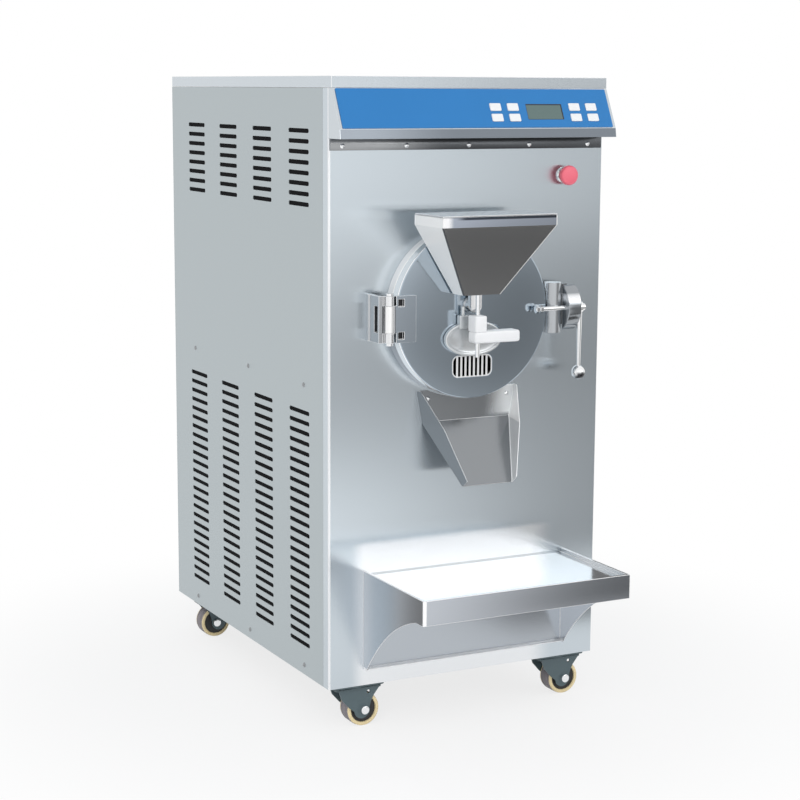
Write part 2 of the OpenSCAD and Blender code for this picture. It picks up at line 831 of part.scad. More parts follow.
module latch_lever() {
  color("gainsboro") stand() difference() {
    union() {
      translate([hub_x[0], latch_y, latch_z]) rotate([0, 90, 0]) cylinder(r = hub_r, h = hub_x[1] - hub_x[0]);
      intersection() {
        translate([claw_x[0], claw_y[0], latch_z]) rotate([0, 90, 0]) cylinder(r = claw_r, h = claw_x[1] - claw_x[0]);
        block(claw_x, [-80, claw_y[1]], [latch_z - 60, latch_z + 60]);
      }
      translate([lever_x, latch_y, latch_z - lever_l]) cylinder(r1 = 3.6, r2 = 5, h = lever_l);
      translate([lever_x, latch_y, latch_z - lever_l]) sphere(ball_r);
    }
    translate([claw_x[0] - 5, latch_y, latch_z]) rotate([0, 90, 0]) cylinder(r = latch_rod_r + run, h = 50);
  }
}

module latch_keeper() {
  color("dimgray") stand() {
    intersection() {
      translate([keeper_x[0], 0, latch_z]) rotate([0, 90, 0])
        cylinder(r = keeper_r, h = keeper_x[1] - keeper_x[0]);
      block(keeper_x, [-keeper_out, -0.1], [latch_z - 60, latch_z + 60]);
    }
    block([keeper_x[0] - 6, keeper_x[1] + 6], [-4, -0.1], [latch_z - 38, latch_z + 38]);
  }
}

// The chute seen from the front, as (x, z), drawn in by t at each side.
module chute_front(t, over) {
  w = chute_half - [t, t, t];
  polygon([
    [-w[0], chute_z[0] + over], [-w[1], chute_z[1]], [-w[2], chute_z[2] - over],
    [w[2], chute_z[2] - over], [w[1], chute_z[1]], [w[0], chute_z[0] + over]
  ]);
}

// The folded sheet before its walls lean in: a back, a sloping floor and two walls.
module chute_sheet() {
  t = sheet;
  reach = chute_reach;
  difference() {
    intersection() {
      along_y(-200, 200) chute_front(0, 0);
      along_x(cab_w) polygon([
        [-0.1, chute_z[0]], [-12, chute_z[0]], [-reach[1], chute_z[1] - 4], [-reach[2], chute_z[2] + 13],
        [-reach[0], chute_z[2]], [-0.1, chute_z[1]]
      ]);
    }
    intersection() {
      along_y(-201, 202) chute_front(t, 1);
      along_x(cab_w) polygon([
        [-t, chute_z[0] + 1], [-200, chute_z[0] + 1], [-200, chute_z[2] - 1],
        [-reach[0] - 2.6, chute_z[2] - 1], [-t, chute_z[1] + 1.2]
      ]);
    }
  }
}

module discharge_chute() {
  lean = [[1, chute_lean, 0, 0], [0, 1, 0, 0], [0, 0, 1, 0], [0, 0, 0, 1]];
  color("lightgray") stand() difference() {
    translate([chute_x, 0, 0]) for (s = [0, 1]) mirror([s, 0, 0]) multmatrix(lean) intersection() {
      chute_sheet();
      block([0, cab_w], [-200, 1], [0, cab_h]);
    }
    forward_at(door_at) translate([0, 0, -1]) cylinder(r = door_r + 2, h = 200);
    at_chute_screws() screw_hole();
  }
}

// The shelf bracket's curved cut: a quadratic curve from the apron to the bracket's foot, as (y, z).
bracket_curve = [[-shelf_reach + 27, shelf_z - apron_h], [-95, 140], [-12, 30]];
function curve_point(c, t) = (1 - t) * (1 - t) * c[0] + 2 * t * (1 - t) * c[1] + t * t * c[2];

module shelf_support() {
  front = -shelf_reach + sheet + 0.1;
  color("lightgray") stand() {
    for (s = [-1, 1]) translate([s * (shelf_half - sheet / 2), 0, 0]) along_x(sheet) polygon(concat(
      [[-0.1, shelf_z], [front, shelf_z], [front, shelf_z - apron_h]],
      [for (i = [0:14]) curve_point(bracket_curve, i / 14)],
      [[-0.1, 30]]
    ));
    block([-shelf_half + sheet / 2, shelf_half - sheet / 2], [-sheet - 0.1, -0.1], [32, 190]);
    block([-shelf_half + sheet / 2, shelf_half - sheet / 2], [-13, -0.1], [32, 32 + sheet]);
  }
}

module shelf_tray() {
  inner = shelf_half - sheet - 0.1;
  front = -shelf_reach + sheet;
  hem = 4;
  color("whitesmoke") stand() {
    difference() {
      block([-inner, inner], [front - 0.1, -0.1], [shelf_z - rim_h - sheet, shelf_z]);
      block([-inner + hem, inner - hem], [front + hem, 1], [shelf_z - rim_h, shelf_z + 1]);
    }
    block([-shelf_half, shelf_half], [-shelf_reach, front], [shelf_z - apron_h, shelf_z]);
  }
}

module castor_plates() {
  color("darkslategray") stand() for (c = castor_spots) translate([c[0], c[1], 0]) {
    difference() {
      translate([0, 0, -castor_plate_t]) linear_extrude(castor_plate_t) rounded([104, 66], 8);
      for (x = [-42, 42], y = [-24, 24]) translate([x, y, -10]) cylinder(r = 4.2, h = 20);
    }
    translate([0, 0, fork_top_z + gap]) cylinder(r = 24, h = -fork_top_z - gap - castor_plate_t + 0.1);
    translate([0, 0, fork_top_z - 6.5]) cylinder(r = 6, h = 9.5);
  }
}

// A fork seen from the front: two cheeks that narrow to the axle, under a drilled top plate.
module castor_fork(i) {
  c = castor_spots[i];
  top = [-41, 50];
  cheek = fork_top_z - fork_t / 2;
  color("darkslategray") stand() translate([c[0], c[1], 0]) rotate(c[2]) difference() {
    union() {
      translate([0, 0, fork_top_z - fork_t]) linear_extrude(fork_t)
        translate([(top[0] + top[1]) / 2, 0]) rounded([top[1] - top[0], 2 * (cheek_y + fork_t)], 5);
      for (s = [-1, 1]) along_y(s * (cheek_y + fork_t / 2) - fork_t / 2, fork_t) {
        difference() {
          polygon([
            [-37, cheek], [46, cheek], [33, -27], [28, -38], [24, axle_z], [-3, axle_z - 4], [-16, -45], [-31, -28]
          ]);
          translate([23, -18]) circle(3.5);
        }
        translate([trail - 5, axle_z - 1]) circle(15);
      }
      translate([trail, 0, axle_z]) rotate([90, 0, 0]) {
        cylinder(r = axle_r, h = 2 * cheek_y + 4, center = true);
        for (s = [-1, 1]) translate([0, 0, s * (cheek_y + fork_t + 2)])
          cylinder(r = 9, h = 4.2, center = true);
      }
    }
    translate([0, 0, -40]) cylinder(r = 6 + run, h = 40);
  }
}

module castor_wheel(i) {
  c = castor_spots[i];
  half = wheel_w / 2;
  color("rosybrown") stand() translate([c[0], c[1], 0]) rotate(c[2]) translate([trail, 0, axle_z])
    rotate([90, 0, 0]) rotate_extrude() polygon([
      [axle_r + run, -half], [23, -half], [23.5, -half + 1.5], [25, -half + 1.5], [25.5, -half],
      [wheel_r - 2.5, -half], [wheel_r - 0.7, -half + 1.5], [wheel_r, -half + 4], [wheel_r, -half + 8],
      [wheel_r - 1.4, -half + 9], [wheel_r - 1.4, -half + 10.5], [wheel_r, -half + 11.5],
      [wheel_r, half - 11.5], [wheel_r - 1.4, half - 10.5], [wheel_r - 1.4, half - 9], [wheel_r, half - 8],
      [wheel_r, half - 4], [wheel_r - 0.7, half - 1.5], [wheel_r - 2.5, half], [25.5, half],
      [25, half - 1.5], [23.5, half - 1.5], [23, half], [axle_r + run, half]
    ]);
}

module castor_fork_1() {
  castor_fork(0);
}

module castor_fork_2() {
  castor_fork(1);
}

module castor_fork_3() {
  castor_fork(2);
}

module castor_fork_4() {
  castor_fork(3);
}

module castor_wheel_1() {
  castor_wheel(0);
}

module castor_wheel_2() {
  castor_wheel(1);
}

module castor_wheel_3() {
  castor_wheel(2);
}

module castor_wheel_4() {
  castor_wheel(3);
}

chassis_frame();
base_pan();
left_side_panel();
right_side_panel();
front_panel();
rear_panel();
top_cover();
fascia_housing();
fascia_overlay();
display_window();
panel_screws();
estop_base();
estop_head();
freezing_cylinder();
insulation_jacket();
bearing_housing();
beater();
beater_shaft();
drive_motor();
compressor();
condenser();
fan_motor();
condenser_fan();
electrical_box();
cable_gland();
hinge_bracket();
hinge_pin();
door_disc();
door_gasket();
door_hinge_leaf();
hopper();
hopper_lid();
gate_guide_rod();
outlet_grille();
gate_plate();
gate_handle();
latch_lug();
latch_rod();
latch_lever();
latch_keeper();
discharge_chute();
shelf_tray();
shelf_support();
castor_plates();
castor_fork_1();
castor_fork_2();
castor_fork_3();
castor_fork_4();
castor_wheel_1();
castor_wheel_2();
castor_wheel_3();
castor_wheel_4();
key_1();
key_2();
key_3();
key_4();
key_5();
key_6();
key_7();
key_8();
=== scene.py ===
# %% [markdown]
# # A batch freezer for ice cream, dressed for a photograph
#
# The machine is a steel cabinet on castors. A horizontal freezing cylinder opens through the front, behind a
# round hinged door that carries a hopper, a sliding gate and a latch. The solids come with true sizes and
# joints, so this script gives them rounded edges, finishes, light and a camera.

# %% Frame
import bpy
import bmesh
import json
import math
import numpy as np
from mathutils import Matrix, Vector


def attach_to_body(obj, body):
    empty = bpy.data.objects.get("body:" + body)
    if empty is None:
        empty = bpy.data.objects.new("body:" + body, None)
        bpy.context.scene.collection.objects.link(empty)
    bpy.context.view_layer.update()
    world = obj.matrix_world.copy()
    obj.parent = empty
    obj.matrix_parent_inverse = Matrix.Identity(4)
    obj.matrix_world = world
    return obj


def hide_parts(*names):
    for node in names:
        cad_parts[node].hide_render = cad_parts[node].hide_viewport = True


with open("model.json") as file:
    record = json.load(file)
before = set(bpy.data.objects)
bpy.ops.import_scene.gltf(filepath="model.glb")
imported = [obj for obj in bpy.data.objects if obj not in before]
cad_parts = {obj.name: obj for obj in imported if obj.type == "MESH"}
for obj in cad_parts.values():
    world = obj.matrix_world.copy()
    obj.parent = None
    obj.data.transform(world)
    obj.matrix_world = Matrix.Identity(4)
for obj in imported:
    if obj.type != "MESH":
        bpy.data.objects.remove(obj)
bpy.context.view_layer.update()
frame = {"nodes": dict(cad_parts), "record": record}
scene = bpy.context.scene
nodes = frame["nodes"]
slots = {row["node"]: row["material_slot"] for row in frame["record"]["subparts"]}
body_of = {node: body for body, members in frame["record"]["behaviour"]["bodies"].items() for node in members}
MM = 0.001
# The cabinet's own origin in the room: the middle of the front sheet's lower edge, in millimetres.
CABINET = np.array([0.0, -273.0, 84.0])


# %% [markdown]
# ## The camera
# The camera stands to the left of the machine and a little above its middle. Its place and lens come from the
# straight edges of the cabinet, so the picture has the perspective of a short telephoto lens.

# %% Camera
def unit_axes(azimuth, pitch, roll):
    """Right, up and back directions: turn by azimuth about Z, look down by pitch, then roll about the view."""
    a, e, r = np.radians([azimuth, pitch, roll])
    ahead = np.array([math.sin(a) * math.cos(e), math.cos(a) * math.cos(e), -math.sin(e)])
    level = np.array([math.cos(a), -math.sin(a), 0.0])
    above = np.cross(level, ahead)
    right = level * math.cos(r) + above * math.sin(r)
    up = above * math.cos(r) - level * math.sin(r)
    return right, up, -ahead


camera = bpy.data.objects.new("camera", bpy.data.cameras.new("camera"))
scene.collection.objects.link(camera)
AZIMUTH, PITCH, ROLL, LENS, SENSOR = 27.1985, 9.3769, 0.3210, 85.47, 36.0
right, up, back = unit_axes(AZIMUTH, PITCH, ROLL)
place = np.array([-1.67882, -3.27087, 1.16342])
camera.matrix_world = Matrix([[right[i], up[i], back[i], place[i]] for i in range(3)] + [[0, 0, 0, 1]])
camera.data.sensor_width, camera.data.lens = SENSOR, LENS
camera.data.clip_start, camera.data.clip_end = 0.1, 60.0
scene.camera = camera
print("camera at", place)


# %% [markdown]
# ## Shader maths as Python
# A finish is a small network of nodes. Wrapping a socket in a class lets the maths read as plain expressions,
# and one method makes any other node.

# %% Shader helper
class Wire:
    """A shader socket that can be added, multiplied and so on; each expression adds Math nodes."""

    def __init__(self, tree, socket):
        self.tree, self.socket = tree, socket

    def node(self, kind, settings=None, out=0, **inputs):
        """Adds a node: settings first, then values or links by socket name, or by number as i0, i1."""
        made = self.tree.nodes.new(kind)
        for key, value in (settings or {}).items():
            setattr(made, key, value)
        for key, value in inputs.items():
            numbered = key[0] == "i" and key[1:].isdigit()
            socket = made.inputs[int(key[1:])] if numbered else made.inputs[key.replace("_", " ")]
            if isinstance(value, Wire):
                self.tree.links.new(value.socket, socket)
            else:
                socket.default_value = value
        return Wire(self.tree, made.outputs[out])

    def maths(self, operation, a, b):
        return self.node("ShaderNodeMath", {"operation": operation}, i0=a, i1=b)

    def __add__(self, other): return self.maths("ADD", self, other)
    def __radd__(self, other): return self.maths("ADD", other, self)
    def __sub__(self, other): return self.maths("SUBTRACT", self, other)
    def __rsub__(self, other): return self.maths("SUBTRACT", other, self)
    def __mul__(self, other): return self.maths("MULTIPLY", self, other)
    def __rmul__(self, other): return self.maths("MULTIPLY", other, self)
    def __truediv__(self, other): return self.maths("DIVIDE", self, other)
    def __pow__(self, other): return self.maths("POWER", self, other)


print("shader helper ready")


# %% [markdown]
# ## What the finishes share
# Every finish starts from Blender's Principled shader and reads Object coordinates, so it sits still on its
# piece. Noise stretched along one direction makes brush lines, and a smooth step makes the edge of a zone.

# %% Shared steps
def start_finish(name, colour, roughness, metallic=0.0, **fixed):
    """Starts a material: returns it with its Object coordinates and a function that links a socket."""
    material = bpy.data.materials.new(name)
    material.use_nodes = True
    tree = material.node_tree
    shader = tree.nodes["Principled BSDF"]
    shader.inputs["Base Color"].default_value = (*colour, 1)
    shader.inputs["Roughness"].default_value = roughness
    shader.inputs["Metallic"].default_value = metallic
    for key, value in fixed.items():
        shader.inputs[key.replace("_", " ")].default_value = value
    spot = Wire(tree, tree.nodes.new("ShaderNodeTexCoord").outputs["Object"])

    def link(wire, socket):
        tree.links.new(wire.socket, shader.inputs[socket])
    return material, spot, link


def tint(wire, colour, spread):
    """A colour that goes from a little darker to a little lighter as the value goes from 0 to 1."""
    low, high = (tuple(min(1.0, c * k) for c in colour) + (1,) for k in (1 - spread, 1 + spread))
    return wire.node("ShaderNodeMix", {"data_type": "RGBA"}, out=2, i0=wire, i6=low, i7=high)


def grain(spot, scale, detail=3.0):
    """Noise from 0 to 1 at scale counts per metre along x, y and z."""
    stretched = spot.node("ShaderNodeMapping", Vector=spot, Scale=scale)
    return spot.node("ShaderNodeTexNoise", Vector=stretched, Scale=1.0, Detail=detail, Roughness=0.6)


def cabinet_place(spot):
    """The place of a point as x, y and z in millimetres in the cabinet's frame."""
    split = spot.node("ShaderNodeSeparateXYZ", Vector=spot).socket.node
    x, y, z = (Wire(spot.tree, socket) for socket in split.outputs)
    return x * 1000, y * 1000 - CABINET[1], z * 1000 - CABINET[2]


def rise(value, low, high):
    """Goes smoothly from 0 at low to 1 at high; with low above high it goes the other way."""
    return value.node("ShaderNodeMapRange", {"interpolation_type": "SMOOTHSTEP"},
                      Value=value, From_Min=low, From_Max=high)


def blended(mask, first, second):
    """The first colour where the mask is 0 and the second where it is 1."""
    return mask.node("ShaderNodeMix", {"data_type": "RGBA"}, out=2, i0=mask, i6=first, i7=second)


print("shared steps ready")


# %% [markdown]
# ## Three kinds of surface
# Sheet steel is brushed with a belt, which leaves long fine lines. Plastic, paint and small bright fittings have
# an even skin with a slow change of shade. The door was turned, so its lines run in rings. Each kind is one
# function, so that every piece of a kind differs only in its numbers.

# %% Brushed, moulded and turned
def brushed(name, colour, roughness, scale, zones=(), depth=0.00001, spread=0.05, shade=0.02, **fixed):
    """Brushed steel: long thin noise along the brush varies the shade, the gloss and a very fine relief.

    Each zone is a mask worked out from the place, the colour inside it, and its share of metal."""
    material, spot, link = start_finish(name, colour, roughness, 1.0, **fixed)
    lines = grain(spot, scale)
    cloud = grain(spot, (3.0, 3.0, 2.0), 2.0)
    tone = lines * 0.6 + cloud * 0.4
    steel = tint(tone, colour, shade)
    if zones:
        place_mm, share = cabinet_place(spot), 1.0
        for where, other, metal in zones:
            mask = where(*place_mm)
            steel = blended(mask, steel, tint(tone, other, shade))
            share = share * (mask * (metal - 1.0) + 1.0)
        link(share, "Metallic")
    link(steel, "Base Color")
    link(lines * spread + cloud * (spread * 0.5) + (roughness - spread * 0.75), "Roughness")
    link(spot.node("ShaderNodeBump", Height=lines, Strength=0.2, Distance=depth), "Normal")
    return material


def moulded(name, colour, roughness, size=900.0, depth=0.00004, shade=0.05, metallic=0.0, **fixed):
    """Moulded plastic, paint or bright metal: a fine even texture with a slow change of shade."""
    material, spot, link = start_finish(name, colour, roughness, metallic, **fixed)
    fine = grain(spot, (size,) * 3, 2.0)
    cloud = grain(spot, (14.0,) * 3, 2.0)
    link(tint(cloud, colour, shade), "Base Color")
    gloss = min(0.10, roughness)
    link(fine * (gloss * 0.6) + cloud * (gloss * 0.4) + (roughness - gloss * 0.5), "Roughness")
    link(spot.node("ShaderNodeBump", Height=fine, Strength=0.3, Distance=depth), "Normal")
    return material


def turned(name, colour, roughness, centre, rim, bright, pitch=900.0):
    """Steel turned on a lathe: rings about an axis along y show in the gloss; past the radius rim the colour turns
    to bright, a painted highlight.
    """
    material, spot, link = start_finish(name, colour, roughness, 1.0)
    centred = spot.node("ShaderNodeMapping", Vector=spot, Location=tuple(-c for c in centre))
    flat = spot.node("ShaderNodeVectorMath", {"operation": "MULTIPLY"}, i0=centred, i1=(1.0, 0.0, 1.0))
    radius = spot.node("ShaderNodeVectorMath", {"operation": "LENGTH"}, out=1, i0=flat)
    rings = spot.node("ShaderNodeTexNoise", {"noise_dimensions": "1D"}, W=radius * pitch, Scale=1.0, Detail=3.0)
    cloud = grain(spot, (5.0,) * 3, 2.0)
    tone = rings * 0.5 + cloud * 0.5
    # painted highlight: past the radius rim the colour is the near-white bright
    edge = rise(radius, rim - 0.0004, rim)
    link(blended(edge, tint(tone, colour, 0.05), tint(tone, bright, 0.03)), "Base Color")
    link(rings * 0.05 + cloud * 0.03 + (roughness - 0.04), "Roughness")
    link(spot.node("ShaderNodeBump", Height=rings, Strength=0.15, Distance=0.00001), "Normal")
    return material


print("three kinds of surface ready")


# %% [markdown]
# ## Plain finishes
# Each material slot of the solids has one finish. The cabinet's sheets are brushed, the door is turned, the
# small fittings are bright, and paint and plastic have a fine even texture. Steel takes most of its look from
# what it mirrors, so its own colour is a plain grey.

# %% Plain finishes
VERTICAL, ACROSS, EVEN = (700.0, 700.0, 6.0), (6.0, 700.0, 700.0), (300.0,) * 3
DOOR_CENTRE = (np.array([-14.5, -43.0, 679.0]) + CABINET) * MM
# The door's outer rim, past DOOR_RIM, gets a near-white painted highlight.
DOOR_RIM = 0.1542
SMOOTH = 0.00001
finishes = {
    "sheet_steel": brushed("brushed_sheet", (0.59, 0.64, 0.68), 0.20, VERTICAL, spread=0.04),
    "side_sheet": brushed("satin_side", (0.52, 0.57, 0.59), 0.52, VERTICAL),
    "polished_steel": brushed("polished_sheet", (0.66, 0.66, 0.66), 0.13, ACROSS, spread=0.04),
    "door_steel": turned("turned_door", (0.475, 0.55, 0.62), 0.11, DOOR_CENTRE, DOOR_RIM, (0.96, 0.96, 0.96)),
    "chrome_fittings": moulded("bright_fittings", (0.86, 0.87, 0.88), 0.12, depth=SMOOTH, shade=0.02, metallic=1.0),
    "frame_paint": moulded("frame_paint", (0.02, 0.02, 0.022), 0.6),
    "galvanised": moulded("galvanised_pan", (0.30, 0.31, 0.32), 0.55, size=60.0, metallic=0.6),
    "blue_overlay": moulded("blue_film", (0.024, 0.205, 0.525), 0.42, size=1600.0, depth=SMOOTH, shade=0.03,
                            Specular_IOR_Level=0.3),
    "display": moulded("display_glass", (0.115, 0.175, 0.165), 0.25, size=500.0, depth=SMOOTH / 2, shade=0.06),
    "white_plastic": moulded("white_plastic", (0.90, 0.905, 0.91), 0.35, depth=SMOOTH, shade=0.02),
    "red_plastic": moulded("red_plastic", (0.90, 0.155, 0.215), 0.38, depth=SMOOTH, shade=0.04),
    "foam": moulded("foam", (0.30, 0.27, 0.16), 0.9, size=300.0),
    "motor_paint": moulded("motor_paint", (0.03, 0.05, 0.08), 0.5),
    "black_paint": moulded("black_paint", (0.015, 0.015, 0.016), 0.5),
    "fins": moulded("fins", (0.15, 0.15, 0.155), 0.6, metallic=0.7),
    "box_paint": moulded("box_paint", (0.10, 0.10, 0.10), 0.6),
    "black_plastic": moulded("black_plastic", (0.018, 0.018, 0.019), 0.5),
    "gasket_rubber": moulded("gasket_rubber", (0.70, 0.70, 0.68), 0.7),
    "slate_steel": moulded("slate_paint", (0.095, 0.138, 0.152), 0.38, size=500.0),
    "castor_tread": moulded("castor_tread", (0.28, 0.255, 0.27), 0.55, size=500.0),
}
extra = {
    "satin": brushed("satin_sheet", (0.47, 0.49, 0.51), 0.22, ACROSS, spread=0.06, shade=0.03),
    "dark_steel": brushed("dark_steel", (0.155, 0.162, 0.17), 0.22, ACROSS, spread=0.06, shade=0.04),
    # painted highlight: the near-white finish of the bevels on folded sheet
    "edge": moulded("painted_edge_highlight", (0.93, 0.935, 0.94), 0.38, shade=0.02, metallic=0.35),
    "cream_ring": moulded("cream_ring", (0.98, 0.80, 0.47), 0.34, size=400.0, shade=0.04),
    # painted shade: a near-black sheet behind the vent slots
    "slot_shade": moulded("painted_slot_shade", (0.006, 0.006, 0.007), 0.85, size=1200.0, Specular_IOR_Level=0.1),
}
print("plain finishes", len(finishes) + len(extra))


# %% [markdown]
# ## Finishes with zones
# Many zones here paint light and shade into the colour: a wall is painted near-white satin, standing in for
# a bright reflection, beside another that mirrors; an edge gets a painted highlight; and a pocket is painted
# black as shade. A mask is 1 inside such a zone and 0 outside. It is worked out from the place in millimetres
# in the cabinet's frame, as on a drawing, so it needs no picture. The hopper and its lid come first: the walls
# lean in below an upright rim.

# %% Hopper and lid
RIM_LOW, RIM_LEFT, RIM_FRONT = 841.0, -112.0, -150.0
HOPPER_X, HOPPER_HALF = -21.0, 112.0
SIDE_LEAN, FRONT_LEAN = 0.616, 0.504
PAINTED_DARK_LINE = (0.06, 0.07, 0.09)


def below_rim(z):
    """How far a place lies below the hopper's rim, or 0."""
    return z.maths("MAXIMUM", RIM_LOW - z, 0.0)


def hopper_walls(x, y, z):
    """The two side walls: |x - middle| reaches the wall's plane, which leans in below the rim."""
    return rise(x.maths("ABSOLUTE", x - HOPPER_X, 0.0) + below_rim(z) * SIDE_LEAN, HOPPER_HALF, HOPPER_HALF + 0.6)


def hopper_rim(x, y, z):
    """The upright front of the rim."""
    return rise(z, RIM_LOW - 0.4, RIM_LOW + 0.4) * rise(y, RIM_FRONT, RIM_FRONT - 0.6)


def hopper_back(x, y, z):
    """The back of the hopper, close to the front sheet."""
    return rise(y, -50.0, -49.0)


def rim_line(x, y, z):
    """The top of the rim, but for its left end."""
    return rise(z, 853.4, 854.4) * rise(x, RIM_LEFT, -88.0) * hopper_rim(x, y, z)


def rim_end(x, y, z):
    """The left end of the rim."""
    return rise(x, RIM_LEFT, -126.0) * hopper_rim(x, y, z)


def lid_front(x, y, z):
    """The front edge of the lid, but for its left end."""
    return rise(y, -148.8, RIM_FRONT) * rise(x, RIM_LEFT, -88.0)


def hopper_corner(x, y, z):
    """A thin painted dark line of shade on the left wall along its front corner, which leans back below the rim."""
    behind = y - (below_rim(z) * FRONT_LEAN - 151.0)
    return rise(behind, 5.0, 3.6) * hopper_walls(x, y, z) * rise(x, 0.0, -10.0) * rise(z, 842.0, 840.0)


# Painted light on the hopper: the rim's front is a darker blue-grey painted reflection, its top line a painted dark
# line, and its left end a painted highlight; the side walls and the back are painted near-white, standing in for
# bright reflections; the front corner gets a painted dark line of shade.
extra["hopper"] = brushed("hopper_sheet", (0.68, 0.685, 0.69), 0.11, ACROSS, (
    (hopper_rim, (0.40, 0.44, 0.51), 1.0), (rim_line, PAINTED_DARK_LINE, 1.0), (rim_end, (0.95, 0.95, 0.96), 0.6),
    (hopper_walls, (0.97, 0.965, 0.95), 0.22), (hopper_back, (0.97, 0.97, 0.97), 0.1),
    (hopper_corner, (0.05, 0.05, 0.055), 0.6)), spread=0.04)
# painted reflection: the lid's front edge, but for its left end, is painted dark
extra["lid"] = brushed("lid_sheet", (0.30, 0.33, 0.37), 0.10, ACROSS, ((lid_front, PAINTED_DARK_LINE, 1.0),), spread=0.04)
print("hopper finishes:", extra["hopper"].name, extra["lid"].name)


# %% [markdown]
# ## The front sheet and the fascia
# The front sheet is brushed up and down, which smears what it mirrors sideways: an anisotropic gloss does the
# same. Its folded left edge gets a painted highlight, and a strip above the shelf a painted reflection of the tray.
# The fascia's lip and the hem below it face the floor; they get painted shade, lighter towards the left.

# %% Front sheet and fascia
def painted_shelf_reflection(x, y, z):
    """The strip of the front sheet just above the shelf, which gets a painted reflection of the bright tray."""
    return rise(z, 271.0, 259.0) * rise(x, -240.0, -205.0) * rise(x, 195.0, 135.0)


def left_fold_highlight(x, y, z):
    """The fold along the left edge of the front sheet, which gets a painted highlight."""
    return rise(x, -275.8, -277.2) * rise(y, 4.0, 2.0)


def lip(x, y, z):
    """The fascia's lower lip, but for its left end face; it gets painted shade."""
    return rise(z, 1006.6, 1006.0) * rise(x, -279.6, -278.8)


def lip_left(x, y, z):
    """The left end of that lip, where the painted shade is lighter."""
    return lip(x, y, z) * rise(x, -40.0, -250.0)


def hem_left(x, y, z):
    """The left end of the hem below the fascia, where its painted shade is lighter."""
    return rise(x, -50.0, -190.0)


def side_screws(x, y, z):
    """The screws on the two side sheets, which are painted darker as shade."""
    return rise(x.maths("ABSOLUTE", x, 0.0), 277.0, 279.0)


# Painted light on the front sheet: a near-white painted highlight on the left fold, and a painted reflection of the
# tray on the strip above the shelf.
extra["front"] = brushed("brushed_front", (0.595, 0.655, 0.70), 0.22, VERTICAL, (
    (painted_shelf_reflection, (0.86, 0.88, 0.90), 0.9), (left_fold_highlight, (0.96, 0.97, 0.98), 0.3)), spread=0.04, Anisotropic=0.9)
# painted shade: the lip is painted near-black, and less dark at its left end
extra["fascia"] = brushed("fascia_steel", (0.60, 0.645, 0.68), 0.20, ACROSS, (
    (lip, (0.095, 0.107, 0.122), 1.0), (lip_left, (0.18, 0.20, 0.225), 1.0)))
# painted shade: the hem is painted dark, and lighter at its left end
extra["hem"] = brushed("hem_painted_shade", (0.12, 0.127, 0.136), 0.22, ACROSS, ((hem_left, (0.34, 0.35, 0.36), 1.0),))
# painted shade: the side sheets' screws are painted darker than the front ones
extra["screw"] = brushed("screw_heads", (0.86, 0.87, 0.88), 0.16, EVEN, ((side_screws, (0.30, 0.31, 0.32), 1.0),))
print("front finishes:", extra["front"].name, extra["fascia"].name, extra["hem"].name, extra["screw"].name)


# %% [markdown]
# ## The shelf and the chute
# Light and shade are painted here. The tray has a bright floor with painted shade along its back edge, a front
# painted darker as shade, and a painted highlight at the front's left end. The shelf's left bracket has painted
# shade that deepens towards its front edge; the right bracket's inner face and the lip of the back plate get
# painted highlights, as do the chute's right wall and the right end of its back plate. The chute's right wall
# leans, so its mask leans as well.

# %% Shelf and chute
APRON_Y, CHUTE_BEND = -230.6, 478.0


def apron(x, y, z):
    """The tray's front face."""
    return rise(y, APRON_Y, APRON_Y - 0.6)


def apron_end(x, y, z):
    """The left end of that face."""
    return apron(x, y, z) * rise(x, -203.0, -205.5)


def shelf_back(x, y, z):
    """The back edge of the tray's floor, at the front sheet."""
    return rise(y, -8.0, -6.0)


def shelf_lip(x, y, z):
    """The folded lip at the foot of the shelf's back plate."""
    return rise(z, 35.5, 34.5) * rise(y, -1.8, -2.4)


def left_bracket(x, y, z):
    """The left shelf bracket, more and more towards its front edge."""
    return rise(x, 0.0, -50.0) * rise(y, -40.0, -235.0)


def right_inner(x, y, z):
    """The inner face of the right shelf bracket."""
    return rise(x, 208.0, 208.8) * rise(x, 210.3, 209.7)


def chute_right(x, y, z):
    """The inner face of the chute's right wall, which leans out above the bend and in below it."""
    above, below = z.maths("MAXIMUM", z - CHUTE_BEND, 0.0), z.maths("MAXIMUM", CHUTE_BEND - z, 0.0)
    return rise(x + 2.0 - y * 0.2 - above * 0.1864 + below * 0.2196, 88.8, 89.8)


def chute_right_top(x, y, z):
    """The part of that face above the bend."""
    return chute_right(x, y, z) * rise(z, 474.0, CHUTE_BEND)


def chute_back_right(x, y, z):
    """The right end of the chute's back plate."""
    return rise(x, 30.0, 92.0) * rise(z, CHUTE_BEND, 488.0) * rise(y, -14.0, -6.0)


# Painted light on the tray: painted shade along its back edge and on its front face, and a painted highlight at the
# front's left end.
extra["tray"] = brushed("tray_sheet", (0.72, 0.735, 0.75), 0.13, ACROSS, (
    (shelf_back, (0.36, 0.385, 0.41), 1.0), (apron, (0.42, 0.445, 0.48), 1.0),
    (apron_end, (0.97, 0.97, 0.98), 0.4)), spread=0.04)
# Painted light on the brackets: painted shade on the left bracket, deeper towards its front edge, and painted
# highlights on the right bracket's inner face and on the back plate's lip.
extra["bracket"] = brushed("bracket_sheet", (0.48, 0.515, 0.555), 0.22, VERTICAL, (
    (left_bracket, (0.14, 0.147, 0.157), 1.0), (right_inner, (0.80, 0.82, 0.85), 1.0),
    (shelf_lip, (0.97, 0.97, 0.98), 0.2)))
